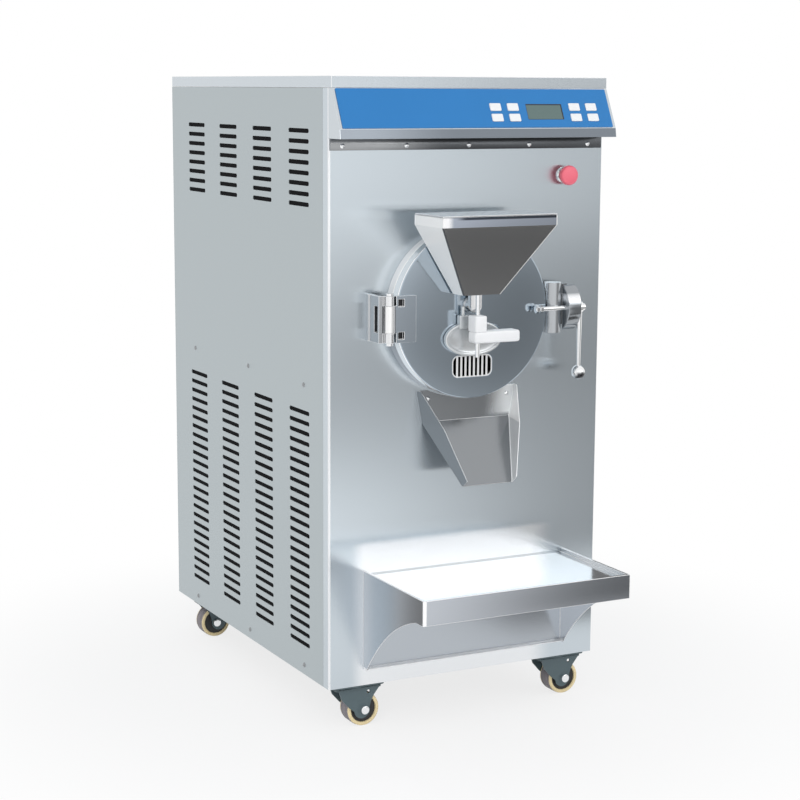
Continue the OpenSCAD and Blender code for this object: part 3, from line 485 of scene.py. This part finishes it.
# Painted light on the chute: painted highlights on the right wall's inner face, brightest above the bend, and on
# the right end of the back plate.
extra["chute"] = brushed("chute_sheet", (0.295, 0.31, 0.325), 0.22, VERTICAL, (
    (chute_right, (0.84, 0.86, 0.87), 0.3), (chute_right_top, (0.99, 0.99, 0.99), 0.1),
    (chute_back_right, (0.95, 0.97, 0.97), 0.2)))
print("shelf and chute finishes:", extra["tray"].name, extra["bracket"].name, extra["chute"].name)


# %% [markdown]
# ## The hinge
# The hinge has a barrel between a grey bracket and a leaf; the leaf's rolled part gets a painted highlight,
# and the barrel's right side painted shade. Its slot, its two pockets and the groove beside the barrel are
# painted black or dark as shade.

# %% Hinge
PAINTED_RECESS_SHADE = (0.015, 0.016, 0.018)
PLATE_END = -192.2


def painted_barrel_shade(x, y, z):
    """The right side of the barrel, which gets painted shade."""
    return rise(x, -180.5, -177.0) * rise(x, -173.4, -174.2)


def leaf_barrel(x, y, z):
    """The rolled part of the leaf, which gets a painted highlight."""
    return rise(x, -173.6, -174.4)


def leaf_pockets(x, y, z):
    """The floors of the two pockets in the leaf, painted black as shade."""
    return rise(y, -50.0, -49.0) * rise(x, -170.5, -169.5)


def hinge_plate(x, y, z):
    """The bracket's plate, left of the barrel."""
    return rise(x, PLATE_END, PLATE_END - 0.6)


def hinge_groove(x, y, z):
    """The right edge of that plate, beside the barrel, painted dark as a line of shade."""
    return rise(x, -196.6, -196.0) * hinge_plate(x, y, z)


def bracket_slot(x, y, z):
    """The floor and back of the slot in the bracket, painted black as shade."""
    return rise(x, -202.4, -201.6) * rise(x, -194.4, -195.0) * rise(y, -38.3, -37.8) * rise(y, -24.6, -25.1)


# Painted light on the hinge: a painted highlight on the leaf's rolled part, and painted shade on the barrel's right
# side, in the groove and in the slot and pockets.
extra["leaf"] = brushed("leaf_steel", (0.41, 0.465, 0.52), 0.16, ACROSS, (
    (leaf_pockets, PAINTED_RECESS_SHADE, 0.2), (leaf_barrel, (0.95, 0.95, 0.94), 0.6), (painted_barrel_shade, (0.16, 0.17, 0.18), 1.0)))
extra["hinge"] = brushed("hinge_steel", (0.80, 0.81, 0.82), 0.16, VERTICAL, (
    (hinge_plate, (0.52, 0.54, 0.56), 1.0), (hinge_groove, (0.13, 0.137, 0.145), 1.0),
    (painted_barrel_shade, (0.20, 0.21, 0.22), 1.0), (bracket_slot, PAINTED_RECESS_SHADE, 0.2)))
print("hinge finishes:", extra["leaf"].name, extra["hinge"].name)


# %% [markdown]
# ## The flange, the gate and the latch
# The cylinder's flange gets a near-white painted highlight above and grey painted shade below. The gate's plate
# is satin in front, and the outlet's bars get a painted highlight on their front faces and painted shade on
# their sides. The claw has one painted highlight band, and the lever's ball a painted dark band of shade.

# %% Flange, gate and latch
def plate_front(x, y, z):
    """All of a piece that stands in front of the front sheet."""
    return rise(y, 0.0, -1.0)


def flange_low(x, y, z):
    """The lower half of the cylinder's flange, which gets painted shade."""
    return rise(z, 668.0, 628.0)


def bar_front(x, y, z):
    """The front faces of the outlet's bars and frame, which get a painted highlight; the rest is painted dark as
    shade.
    """
    return rise(y, -41.4, -41.8)


def painted_ball_shade(x, y, z):
    """A band on the lower part of the lever's ball, painted dark as shade."""
    return rise(z, 563.0, 557.0) * rise(z, 548.0, 551.0) * rise(x, 190.0, 196.0)


def painted_claw_highlight(x, y, z):
    """A painted highlight band across the claw, a little above the rod: 1 - h^2, where h is 1 at 9 mm from its
    middle.
    """
    height = (z - 699.0) / 9.0
    return z.maths("MAXIMUM", 1.0 - height * height, 0.0)


# Painted light on the flange: near-white as a painted highlight, also where it stands in front of the front sheet,
# and grey as painted shade on its lower half.
extra["flange"] = brushed("flange_steel", (0.96, 0.96, 0.96), 0.14, EVEN, (
    (plate_front, (0.97, 0.97, 0.97), 0.25), (flange_low, (0.40, 0.43, 0.47), 1.0)), spread=0.04)
extra["gate"] = brushed("gate_sheet", (0.66, 0.68, 0.69), 0.24, EVEN, ((plate_front, (0.64, 0.66, 0.67), 0.7),))
# painted light: the bars' front faces are a painted highlight and their sides painted shade
extra["grille"] = brushed("outlet_bars", (0.10, 0.10, 0.105), 0.25, EVEN, ((bar_front, (0.95, 0.95, 0.95), 0.4),))
# painted shade: a dark band on the lower part of the ball
extra["lever"] = brushed("lever_steel", (0.88, 0.89, 0.90), 0.12, ACROSS, ((painted_ball_shade, (0.05, 0.052, 0.057), 1.0),))
# painted highlight: a near-white band across the claw
extra["claw"] = brushed("claw_steel", (0.34, 0.36, 0.38), 0.16, ACROSS, ((painted_claw_highlight, (0.95, 0.96, 0.98), 1.0),))
print("finishes in all", len(finishes) + len(extra))


# %% [markdown]
# ## Rounded edges on the sheet metal
# Real sheet has no knife edges: every fold and cut catches a thin line of light. Each solid is copied, its
# triangles are merged back into whole faces, and a narrow bevel rounds the edges. On folded sheet the bevel has
# a near-white finish of its own, a painted highlight along the edge.

# %% Copies with rounded edges
SHARP, SAME_POINT, SAME_PLANE, BEVEL_STEPS = 22.0, 2e-6, 0.4, 2


def attach(piece, node, finish=None, hides=True):
    """Gives a piece a finish, by default its node's slot finish, and the node's body; with hides it hides the node,
    so the piece stands in its place.
    """
    piece.data.materials.clear()
    piece.data.materials.append(finish or finishes[slots[node]])
    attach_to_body(piece, body_of[node])
    if hides:
        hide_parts(node)
    return piece


def rounded_copy(node, width, finish=None, edge=None, limit=SHARP):
    """A merged copy of a solid whose edges sharper than limit degrees get a bevel of width millimetres.

    With an edge finish, the bevel itself gets a near-white painted highlight."""
    mesh = nodes[node].data.copy()
    work = bmesh.new()
    work.from_mesh(mesh)
    bmesh.ops.remove_doubles(work, verts=work.verts, dist=SAME_POINT)
    bmesh.ops.dissolve_limit(work, angle_limit=math.radians(SAME_PLANE), verts=work.verts, edges=work.edges)
    work.to_mesh(mesh)
    work.free()
    mesh.shade_smooth()
    mesh.set_sharp_from_angle(angle=math.radians(limit))
    mesh.name = node + "_shown"
    piece = bpy.data.objects.new(node + "_shown", mesh)
    scene.collection.objects.link(piece)
    if width:
        bevel = piece.modifiers.new("edge", "BEVEL")
        bevel.width, bevel.segments = width * MM, BEVEL_STEPS
        bevel.limit_method, bevel.angle_limit = "ANGLE", math.radians(limit)
        bevel.use_clamp_overlap = True
        bevel.material = 1 if edge else -1
        evened = piece.modifiers.new("flat faces", "WEIGHTED_NORMAL")
        evened.weight, evened.keep_sharp = 100, True
    attach(piece, node, finish)
    if edge:
        mesh.materials.append(edge)
    return piece


print("rounding ready")

# %% Which solids are rounded, and by how much
EDGES = {
    "fascia_overlay": 0.3, "estop_base": 0.8, "hinge_pin": 0.6, "door_disc": 0.9,
    "gate_guide_rod": 0.6, "latch_rod": 0.6, "cable_gland": 0.5, "castor_plates": 0.6,
    "left_side_panel": 0, "right_side_panel": 0, "rear_panel": 0,
}
EDGES.update({f"castor_fork_{i}": 0.7 for i in range(1, 5)})
EDGES.update({f"key_{i}": 0.8 for i in range(1, 9)})
shown = {node: rounded_copy(node, width) for node, width in EDGES.items()}
ZONED = [
    ("hopper", 1.0, "hopper"), ("panel_screws", 0.3, "screw"), ("outlet_grille", 0.6, "grille"),
    ("freezing_cylinder", 0.9, "flange"), ("latch_lug", 1.2, "satin"), ("latch_keeper", 1.0, "dark_steel"),
]
for node, width, finish in ZONED:
    shown[node] = rounded_copy(node, width, extra[finish])
# These pieces get the near-white painted highlight on their bevels.
BRIGHT_EDGED = [
    ("front_panel", 0.9, "front", SHARP), ("top_cover", 1.6, None, SHARP),
    ("fascia_housing", 0.8, "fascia", SHARP), ("hopper_lid", 0.9, "lid", SHARP),
    ("hinge_bracket", 1.2, "hinge", SHARP), ("door_hinge_leaf", 1.0, "leaf", SHARP),
    ("discharge_chute", 0.6, "chute", 8.0), ("shelf_tray", 0.8, "tray", SHARP),
    ("shelf_support", 0.6, "bracket", SHARP),
]
for node, width, finish, limit in BRIGHT_EDGED:
    shown[node] = rounded_copy(node, width, extra.get(finish), extra["edge"], limit)
print("rounded", len(shown))

# %% [markdown]
# ## The front sheet and the plain solids
# The front sheet's stretched gloss takes its direction from coordinates that a live modifier would upset, so
# its bevel is made part of its mesh. The solids inside the cabinet keep their shape and only get a finish.

# %% Front sheet and plain solids
graph = bpy.context.evaluated_depsgraph_get()
settled = bpy.data.meshes.new_from_object(shown["front_panel"].evaluated_get(graph))
shown["front_panel"].modifiers.clear()
shown["front_panel"].data = settled
for node, solid in nodes.items():
    if node not in shown:
        solid.data.materials.clear()
        solid.data.materials.append(finishes[slots[node]])
print("front sheet faces", len(settled.polygons), "plain solids", len(nodes) - len(shown))


# %% [markdown]
# ## Surfaces from formulas
# Knobs, wheels and handles have soft forms that a bevel can't give. Each is a grid of points worked out at
# once: a profile turned about an axis, or an outline carried through an edge profile. Places are in
# millimetres in the cabinet's frame, as on a drawing, and are moved to the room's metres at the end.

# %% Surface helpers
def grid(points, caps=(True, True)):
    """Faces between the rings of a grid (rings by points); caps close the first and the last ring."""
    rings, count = points.shape[:2]
    index = np.arange(rings * count).reshape(rings, count)
    ahead = np.roll(index, -1, axis=1)
    quads = np.stack([index[:-1], ahead[:-1], ahead[1:], index[1:]], axis=-1).reshape(-1, 4)
    ends = [ring for ring, wanted in ((index[:1, ::-1], caps[0]), (index[-1:], caps[1])) if wanted]
    return points.reshape(-1, 3), [quads] + ends


def formed(name, surfaces, node, finish=None, hides=True, sharp=40.0):
    """One mesh from several grids, facing outwards, that goes with a node."""
    offsets = np.cumsum([0] + [len(points) for points, _ in surfaces])
    points = np.concatenate([points for points, _ in surfaces])
    faces = [row for offset, (_, blocks) in zip(offsets, surfaces) for block in blocks
             for row in (block + offset).tolist()]
    mesh = bpy.data.meshes.new(name)
    mesh.from_pydata(((points + CABINET) * MM).tolist(), [], faces)
    work = bmesh.new()
    work.from_mesh(mesh)
    bmesh.ops.recalc_face_normals(work, faces=work.faces)
    work.to_mesh(mesh)
    work.free()
    mesh.shade_smooth()
    mesh.set_sharp_from_angle(angle=math.radians(sharp))
    piece = bpy.data.objects.new(name, mesh)
    scene.collection.objects.link(piece)
    return attach(piece, node, finish, hides)


print("meshes from grids ready")


# %% [markdown]
# ## Profiles and outlines
# A turned piece needs a profile, and a slab needs an outline and an edge. Their corners are rounded by formula,
# which keeps every piece a small grid.

# %% Profiles and outlines
def filleted(corners, radius, steps=5):
    """A line of points whose inner corners are rounded: a curve p = (1-t)^2 a + 2t(1-t) b + t^2 c at each."""
    corners = np.array(corners, float)
    t = np.linspace(0, 1, steps)[:, None]
    line = [corners[:1]]
    for a, b, c in zip(corners, corners[1:], corners[2:]):
        before, after = (min(radius, np.linalg.norm(p - b) / 2) * (p - b) / np.linalg.norm(p - b) for p in (a, c))
        line.append((1 - t) ** 2 * (b + before) + 2 * t * (1 - t) * b + t ** 2 * (b + after))
    return np.concatenate(line + [corners[-1:]])


AXES = {"x": np.eye(3)[[1, 2, 0]], "y": np.eye(3)[[2, 0, 1]], "z": np.eye(3)}


def turned_form(profile, centre, axis, steps=64, caps=(True, True)):
    """A profile of (radius, distance) carried round an axis: centre + distance*w + radius*(u cos a + v sin a)."""
    radius, distance = np.array(profile, float).T[:, :, None]
    a = np.linspace(0, 2 * np.pi, steps, endpoint=False)[None, :]
    u, v, w = AXES[axis]
    points = (radius * np.cos(a))[..., None] * u + (radius * np.sin(a))[..., None] * v + distance[..., None] * w
    return grid(points + np.array(centre, float), caps)


def turned_ring(profile, centre, axis, steps=64):
    """A closed profile carried round an axis, which makes a ring with no caps."""
    points, blocks = turned_form(list(profile) + [profile[0]], centre, axis, steps, (False, False))
    whole = len(points) - steps
    return points[:whole], [blocks[0] % whole]


def round_rectangle(width, height, radius, steps=6):
    """Outline points and outward directions of a rectangle with round corners, from its right side on."""
    a = (np.arange(4)[:, None] * np.pi / 2 + np.linspace(0, np.pi / 2, steps)[None, :]).ravel()
    out = np.stack([np.cos(a), np.sin(a)], axis=1)
    signs = np.repeat([[1, 1], [-1, 1], [-1, -1], [1, -1]], steps, axis=0)
    return signs * (np.array([width, height]) / 2 - radius) + radius * out, out


def ellipse(width, height, steps=96):
    """Outline points of an ellipse, with directions that draw in both half axes by the same length."""
    a = np.linspace(0, 2 * np.pi, steps, endpoint=False)
    out = np.stack([np.cos(a), np.sin(a)], axis=1)
    return out * np.array([width, height]) / 2, out


def carried(outline, rows, centre, axes="xzy"):
    """An outline carried through rows of (inset, distance): each ring is the outline drawn in by the inset."""
    flat, out = outline
    inset, distance = np.array(rows, float).T[:, :, None]
    drawn = flat[None] - inset[..., None] * out[None]
    points = np.zeros((len(rows), len(flat), 3))
    for part, name in zip((drawn[..., 0], drawn[..., 1], distance + np.zeros(len(flat))), axes):
        points[..., "xyz".index(name)] = part
    return grid(points + np.array(centre, float))


def soft_rows(start, end, edge, steps=5):
    """Rows of (inset, distance) for a slab from start to end whose two edges are quarter rounds."""
    a = np.linspace(0, np.pi / 2, steps)
    way = np.sign(end - start)
    first = np.stack([edge * (1 - np.sin(a)), start + way * edge * (1 - np.cos(a))], axis=1)
    last = np.stack([edge * (1 - np.cos(a)), end - way * edge * (1 - np.sin(a))], axis=1)
    return np.concatenate([first, last])


print("profiles and outlines ready")

# %% [markdown]
# ## The gate and its handle
# The discharge gate is an oval plate with a raised rim round a shallow dish. Its handle is a white block that
# slides on the rod, with a lever to one side. Both are outlines carried through a rounded edge.

# %% Gate and handle
GATE_X, GATE_Z, ROD_X = -17.0, 634.0, -26.0
gate_rows = np.concatenate([
    [(3.0, -44.0), (0.9, -44.3), (0.2, -45.2), (0.0, -46.5), (0.0, -51.5), (0.4, -53.0), (1.3, -53.8)],
    [(2.4, -54.0), (4.2, -53.9), (5.6, -53.3), (7.2, -52.6), (10.0, -52.2), (16.0, -52.0), (24.0, -51.9)]])
formed("gate_plate_shown", [
    carried(ellipse(116, 64), gate_rows, (GATE_X, 0, GATE_Z)),
    turned_form([(8.0, -50.0), (8.0, -67.0)], (GATE_X, 0, GATE_Z + 10), "y", 40),
    carried(round_rectangle(20, 24, 2.0), soft_rows(-57, -45, 1.4), (-38, 0, 665)),
    turned_form(filleted([(3.4, 0.0), (3.4, 17.0), (0.4, 17.4)], 1.6), (-39, -51, 676), "z", 24)],
    "gate_plate", extra["gate"])
formed("gate_handle_shown", [
    carried(round_rectangle(23.5, 29, 2.6), soft_rows(-95, -67, 2.4), (ROD_X + 0.25, 0, 664.5)),
    carried(round_rectangle(92, 21, 5.0), soft_rows(-94, -67, 3.2), (ROD_X + 35, 0, 640.5))], "gate_handle")
print("gate rows", len(gate_rows))

# %% [markdown]
# ## The latch lever
# A claw with a round front turns on the latch rod. Beside it hangs a thin tapered arm that ends in a ball. The
# claw is a bow outline carried through soft edges, and the others are turned.

# %% Latch lever
LATCH_Y, LATCH_Z, LEVER_X, LEVER_END = -58.0, 681.0, 202.0, 560.0


def bow(radius, chord, steps=40):
    """Outline points and outward directions of a bow: an arc of the radius cut off by a straight chord."""
    half = math.acos(chord / radius)
    a = np.linspace(np.pi - half, np.pi + half, steps)
    out = np.stack([np.cos(a), np.sin(a)], axis=1)
    flat = out * radius
    out[[0, -1]] += np.array([1.0, 0.0])
    return flat, out


arc = np.linspace(0.03, np.pi - 0.30, 28)
ball = np.stack([13.0 * np.sin(arc), -13.0 * np.cos(arc)], axis=1)
arm = [(5.4, 0.0), (5.2, -14.0), (4.4, -60.0), (3.7, -104.0), (3.7, -112.0)]
formed("latch_claw", [carried(bow(46.0, 21.0), soft_rows(171.6, 199.0, 1.8), (0, -25, LATCH_Z), "yzx")],
       "latch_lever", extra["claw"])
formed("latch_lever_shown", [
    turned_form(filleted([(5.0, 198.0), (10.0, 198.0), (10.0, 207.0), (5.0, 207.0)], 2.2),
                (0, LATCH_Y, LATCH_Z), "x", 56),
    turned_form(arm, (LEVER_X, LATCH_Y, LATCH_Z), "z", 28),
    turned_form(ball, (LEVER_X, LATCH_Y, LEVER_END), "z", 48)], "latch_lever", extra["lever"])
print("lever reaches", LATCH_Z - LEVER_END, "mm below the rod")

# %% [markdown]
# ## The emergency stop
# The red head is a turned mushroom: a flat crown, a rolled edge, and a narrow neck over a bright collar.

# %% Emergency stop
STOP_X, STOP_Z = 198.0, 920.0
roll = np.linspace(np.pi / 2, 0.0, 8)
crown = np.linspace(14.0, 0.4, 8)
stop_profile = np.concatenate([
    filleted([(8.0, -2.0), (8.0, -10.6), (10.5, -11.5), (10.5, -12.5), (16.9, -13.6), (18.0, -16.0)], 0.8),
    np.stack([14.0 + 4.0 * np.sin(roll), -20.6 - 4.0 * np.cos(roll)], axis=1),
    np.stack([crown, -24.6 - 1.3 * (1 - (crown / 14.0) ** 2)], axis=1)[1:]])
formed("estop_head_shown", [turned_form(stop_profile, (STOP_X, 0, STOP_Z), "y", 64)], "estop_head")
print("stop head", stop_profile[:, 0].max() * 2, "mm across")

# %% [markdown]
# ## The castor wheels
# Each wheel has a grey tread with two grooves, a cream ring on each face and a black hub. Closed profiles
# turned about the axle make them, and a domed bolt closes the fork's outer side.

# %% Castor wheels
AXLE_Z, TRAIL, WHEEL_R, CHEEK = -52.0, 15.0, 32.0, 22.4
right_half = [(WHEEL_R, 0.0), (WHEEL_R, 6.3), (30.7, 7.2), (30.7, 8.8),
              (WHEEL_R, 9.7), (31.9, 13.4), (31.2, 14.6)]
left_half = [(r, -a) for r, a in right_half[:0:-1]]
tread = filleted([(26.0, -14.4)] + left_half + right_half + [(26.0, 14.4)], 0.5, 3)
ring = [(24.6, 14.2), (31.0, 14.7), (31.5, 15.4), (31.2, 16.6),
        (30.0, 17.7), (28.0, 18.0), (25.6, 17.8), (24.6, 16.6)]
hub = filleted([(5.1, -16.4), (9.0, -17.2), (12.0, -17.2), (13.5, -14.6), (24.8, -15.4),
                (24.8, 15.4), (13.5, 14.6), (12.0, 17.2), (9.0, 17.2), (5.1, 16.4)], 0.8, 4)
bolt = filleted([(9.3, 0.0), (9.3, -2.6), (7.0, -5.0), (0.4, -5.4)], 1.6)
spots = {1: (-216, 36, 1), 2: (216, 36, 1), 3: (-216, 692, -1), 4: (216, 692, -1)}
for number, (x, y, way) in spots.items():
    axle = (x + way * TRAIL, y, AXLE_Z)
    wheel = f"castor_wheel_{number}"
    formed(f"castor_tread_{number}", [turned_ring(tread, axle, "y", 72)], wheel, sharp=50.0)
    faces = [turned_ring([(r, side * a) for r, a in ring], axle, "y", 72) for side in (1, -1)]
    formed(f"castor_ring_{number}", faces, wheel, extra["cream_ring"])
    formed(f"castor_hub_{number}", [turned_ring(hub, axle, "y", 48)], wheel, finishes["black_plastic"])
    ends = [turned_form([(r, side * a) for r, a in bolt], (axle[0], y - side * CHEEK, AXLE_Z), "y", 40)
            for side in (1, -1)]
    formed(f"castor_bolt_{number}", ends, f"castor_fork_{number}", finishes["chrome_fittings"], False)
print("wheels", len(spots))

# %% [markdown]
# ## The fascia's trim
# A steel strip hangs below the fascia and takes its screws; its dark colour is painted shade. The display sits
# behind a thin black frame, a dark piece that stands in for the shade in its recess.

# %% Fascia trim
# The hem strip's dark colour is painted shade.
formed("hem_strip", [carried(round_rectangle(555, 20.4, 0.6, 3), soft_rows(-1.3, -1.95, 0.2, 3), (0, 0, 979.4))],
       "fascia_housing", extra["hem"], hides=False)

FASCIA_TOP, FASCIA_OUT, FASCIA_DROP, FASCIA_Z = 12.4, 46.0, 70.0, 1076.5
SLOPE = math.atan((FASCIA_OUT - FASCIA_TOP) / FASCIA_DROP)


def on_slope(surface):
    """Turns a surface drawn flat (x, up the slope, outwards) onto the fascia: y and z turn by the slope's angle."""
    points, blocks = surface
    x, along, out = points.T
    y = -FASCIA_TOP + along * math.sin(SLOPE) - out * math.cos(SLOPE)
    z = FASCIA_Z + along * math.cos(SLOPE) + out * math.sin(SLOPE)
    return np.stack([x, y, z], axis=1), blocks


def flat_frame(outer, inner, low, high):
    """A frame between two outlines of equal count: up the outside, across the top, down the inside."""
    rings = [np.column_stack([flat, np.full(len(flat), level)])
             for flat, level in ((outer, low), (outer, high), (inner, high - 0.35), (inner, low), (outer, low))]
    points, blocks = grid(np.stack(rings), (False, False))
    whole = len(points) - len(outer)
    return points[:whole], [blocks[0] % whole]


glass_at = np.array([135.0, -46.0])
outer = round_rectangle(75.2, 30.2, 1.1)[0] + glass_at
inner = round_rectangle(72.6, 27.8, 0.8)[0] + glass_at + np.array([-0.5, -0.5])
# painted shade: a thin black frame that stands in for the shade in the display's recess
formed("display_recess_shade", [on_slope(flat_frame(outer, inner, 0.7, 1.45))], "display_window",
       finishes["black_plastic"], False)
print("slope", round(math.degrees(SLOPE), 2), "degrees")

# %% [markdown]
# ## Painted shade behind the vents
# The slots look black because a thin near-black sheet, painted shade, lies behind each vented sheet, so no light
# comes through the cabinet. Each shade sheet is a flat slab in the narrow seam between the sheet and the frame.

# %% Painted shade behind the vents
SHADE_SHEET_H, SHADE_SHEET_Z = 1060, 540
for side, node in ((-1, "left_side_panel"), (1, "right_side_panel")):
    slab = carried(round_rectangle(730, SHADE_SHEET_H, 2, 3), [(0, side * 278.3), (0, side * 278.4)],
                   (0, 393, SHADE_SHEET_Z), "yzx")
    formed(f"{node}_screen", [slab], node, extra["slot_shade"], False)
slab = carried(round_rectangle(550, SHADE_SHEET_H, 2, 3), [(0, 762.3), (0, 762.4)], (0, 0, SHADE_SHEET_Z))
formed("rear_panel_screen", [slab], "rear_panel", extra["slot_shade"], False)
print("screens in place")


# %% [markdown]
# ## The sky
# An even sky lights the machine from all sides. The camera and the steel see plain white instead, so that the
# background is white without more light on the machine.

# %% Sky
def seen_by_eye(tree):
    """1 for camera, glossy and transmission rays, and 0 for the rays that carry light."""
    path = tree.nodes.new("ShaderNodeLightPath")
    names = ("Is Camera Ray", "Is Glossy Ray", "Is Transmission Ray")
    rays = [Wire(tree, path.outputs[name]) for name in names]
    return rays[0].maths("MAXIMUM", rays[0].maths("MAXIMUM", rays[0], rays[1]), rays[2])


world = bpy.data.worlds.new("studio")
scene.world = world
world.use_nodes = True
tree = world.node_tree
sky = Wire(tree, tree.nodes["Background"].outputs[0])
tree.nodes["Background"].inputs["Color"].default_value = (0.95, 0.97, 1.0, 1)
tree.nodes["Background"].inputs["Strength"].default_value = 0.66
seen = seen_by_eye(tree)
white = seen.node("ShaderNodeBackground", Color=(1, 1, 1, 1), Strength=1.0)
tree.links.new(seen.node("ShaderNodeMixShader", Fac=seen, i1=sky, i2=white).socket,
               tree.nodes["World Output"].inputs["Surface"])
print("sky ready")


# %% [markdown]
# ## The floor
# A pale floor keeps the machine's shadow and turns white further out. It is one large level sheet, which isn't
# part of the machine.

# %% Floor
def stage_sheet(name, points, uv):
    """A stage piece from a grid of points in metres, with a UV pair at each point."""
    rows, columns = points.shape[:2]
    index = np.arange(rows * columns).reshape(rows, columns)
    faces = np.stack([index[:-1, :-1], index[:-1, 1:], index[1:, 1:], index[1:, :-1]], axis=-1).reshape(-1, 4)
    mesh = bpy.data.meshes.new(name)
    mesh.from_pydata(points.reshape(-1, 3).tolist(), [], faces.tolist())
    layer = mesh.uv_layers.new(name="UVMap")
    layer.data.foreach_set("uv", uv.reshape(-1, 2)[faces.ravel()].ravel())
    sheet = bpy.data.objects.new(name, mesh)
    scene.collection.objects.link(sheet)
    material = bpy.data.materials.new(name)
    material.use_nodes = True
    mesh.materials.append(material)
    return sheet, material.node_tree


SHEET_UV = np.array([[(0, 0), (1, 0)], [(0, 1), (1, 1)]], float)


def level_sheet(x, y, z):
    """The corners of a level sheet over the ranges x and y at the height z, and their UV pairs."""
    return np.array([[(x[0], y[0], z), (x[1], y[0], z)], [(x[0], y[1], z), (x[1], y[1], z)]], float), SHEET_UV


def upright_sheet(x, y, z):
    """The corners of an upright sheet over the ranges x and z at the depth y, and their UV pairs."""
    return np.array([[(x[0], y, z[0]), (x[1], y, z[0])], [(x[0], y, z[1]), (x[1], y, z[1])]], float), SHEET_UV


tree = stage_sheet("floor", *level_sheet((-30, 30), (-30, 30), 0))[1]
shader = tree.nodes["Principled BSDF"]
shader.inputs["Base Color"].default_value = (0.90, 0.90, 0.90, 1)
shader.inputs["Roughness"].default_value = 0.9
lit = Wire(tree, shader.outputs[0])
spot = Wire(tree, tree.nodes.new("ShaderNodeTexCoord").outputs["Object"])
away = spot.node("ShaderNodeVectorMath", {"operation": "LENGTH"}, out=1, i0=spot)
white = lit.node("ShaderNodeEmission", Color=(1, 1, 1, 1), Strength=1.0)
share = seen_by_eye(tree) * (rise(away, 0.5, 1.2) * 0.22 + 0.78)
mixed = lit.node("ShaderNodeMixShader", Fac=share, i1=lit, i2=white)
tree.links.new(mixed.socket, tree.nodes["Material Output"].inputs["Surface"])
print("floor ready")


# %% [markdown]
# ## Cards for the steel to mirror
# Polished steel shows what stands round it, so grey cards stand about, as in a product studio: only the steel
# sees them. The front sheet mirrors the room to the right of the camera. The main card lies on the floor there
# and stands up further out; it is bright above and low down, grey at the middle, and darker to the right. A
# bright card far behind it shows only in the shelf, by way of the front sheet. Smaller cards serve the hopper,
# the right walls and the left ends.

# %% Cards
def grey_card(name, points, uv, light):
    """A card that only glossy rays see; light gives its brightness from the two UV values."""
    card, tree = stage_sheet(name, points, uv)
    at = Wire(tree, tree.nodes.new("ShaderNodeTexCoord").outputs["UV"])
    split = at.node("ShaderNodeSeparateXYZ", Vector=at).socket.node
    level = light(Wire(tree, split.outputs[0]), Wire(tree, split.outputs[1]))
    glow = at.node("ShaderNodeEmission", Color=level, Strength=1.0)
    tree.links.new(glow.socket, tree.nodes["Material Output"].inputs["Surface"])
    for part in ("camera", "diffuse", "transmission", "volume_scatter", "shadow"):
        setattr(card, "visible_" + part, False)


CARD_Z, FRONT_Y, WALL, EULER = 0.006, -0.273, 3.2, 2.718


def mirrored_place(x, z):
    """Where the sight line by way of the point (x, z) on the front sheet ends: on the floor, or at a wall."""
    run = place[1] - FRONT_Y
    reach = np.minimum(WALL, (z - CARD_Z) * run / np.minimum(z - place[2], -0.05))
    return np.stack([x - reach * (x - place[0]) / run, FRONT_Y - reach, z - reach * (z - place[2]) / run], axis=-1)


def room_light(x, z):
    """Bright with a grey belt on the left; darker on the right, at the very bottom and top, and for the door.

    The belt is a bell curve, 0.68 e^(-h^2), where h is 1 at 0.18 m from its middle."""
    height = (z - 0.68) / 0.18
    left = 1.32 - z.maths("POWER", EULER, height * height * -1.0) * 0.68
    right = rise(z, 0.80, 1.0) * 0.25 + 0.33
    level = left + (right - left) * rise(x, -0.30, 0.20)
    bottom = rise(z, 0.345, 0.315) * rise(x, -0.32, 0.12) * 0.6
    away = ((x + 0.0145) ** 2.0 + (z - 0.763) ** 2.0) ** 0.5
    door, top = rise(away, 0.175, 0.125) * 0.4, rise(z, 1.10, 1.15) * 0.3
    return level * (1.0 - bottom) * (1.0 - door) * (1.0 - top)


across, up = np.meshgrid(np.linspace(-0.55, 2.0, 40), np.linspace(0.286, 1.19, 64))
grey_card("front_card", mirrored_place(across, up), np.stack([across, up], axis=-1), room_light)
grey_card("low_card", *level_sheet((0.36, 0.92), (-1.06, -0.70), CARD_Z), lambda u, v: 0.10 + v * 0.10)
grey_card("far_card", *upright_sheet((0.8, 7.0), -6.3, (1.2, 4.5)), lambda u, v: rise(v, 0.13, 0.21) * 1.9 + 0.6)
grey_card("back_card", *upright_sheet((0.40, 3.4), 1.2, (0.15, 2.2)), lambda u, v: 0.18 + u * 0.06)
grey_card("left_card", *upright_sheet((-2.6, 0.35), -2.6, (0.05, 2.8)),
          lambda u, v: rise(v, 0.05, 0.12) * 0.45 + 0.65)
grey_card("left_floor", *level_sheet((-0.95, -0.25), (-1.75, -0.52), CARD_Z), lambda u, v: 1.2 + u * 0.1)
print("cards ready")


# %% [markdown]
# ## Lamps
# The key lamp stands behind the camera to the left, and a weaker lamp fills from the right. Both are large, so
# shadows stay soft.

# %% Lamps
def soft_lamp(name, spot, aim, size, power):
    """A square soft lamp at a spot, facing aim."""
    lamp = bpy.data.objects.new(name, bpy.data.lights.new(name, "AREA"))
    lamp.data.size, lamp.data.energy = size, power
    scene.collection.objects.link(lamp)
    turn = (Vector(aim) - Vector(spot)).to_track_quat("-Z", "Y").to_matrix().to_4x4()
    lamp.matrix_world = Matrix.Translation(spot) @ turn
    lamp.visible_glossy = False


MIDDLE = (0, 0, 0.6)
soft_lamp("key_lamp", (-2.6, -3.4, 3.2), MIDDLE, 2.6, 66)
soft_lamp("fill_lamp", (2.8, -3.0, 2.6), MIDDLE, 2.4, 26)
scene.view_settings.view_transform = "Standard"
print("studio ready")
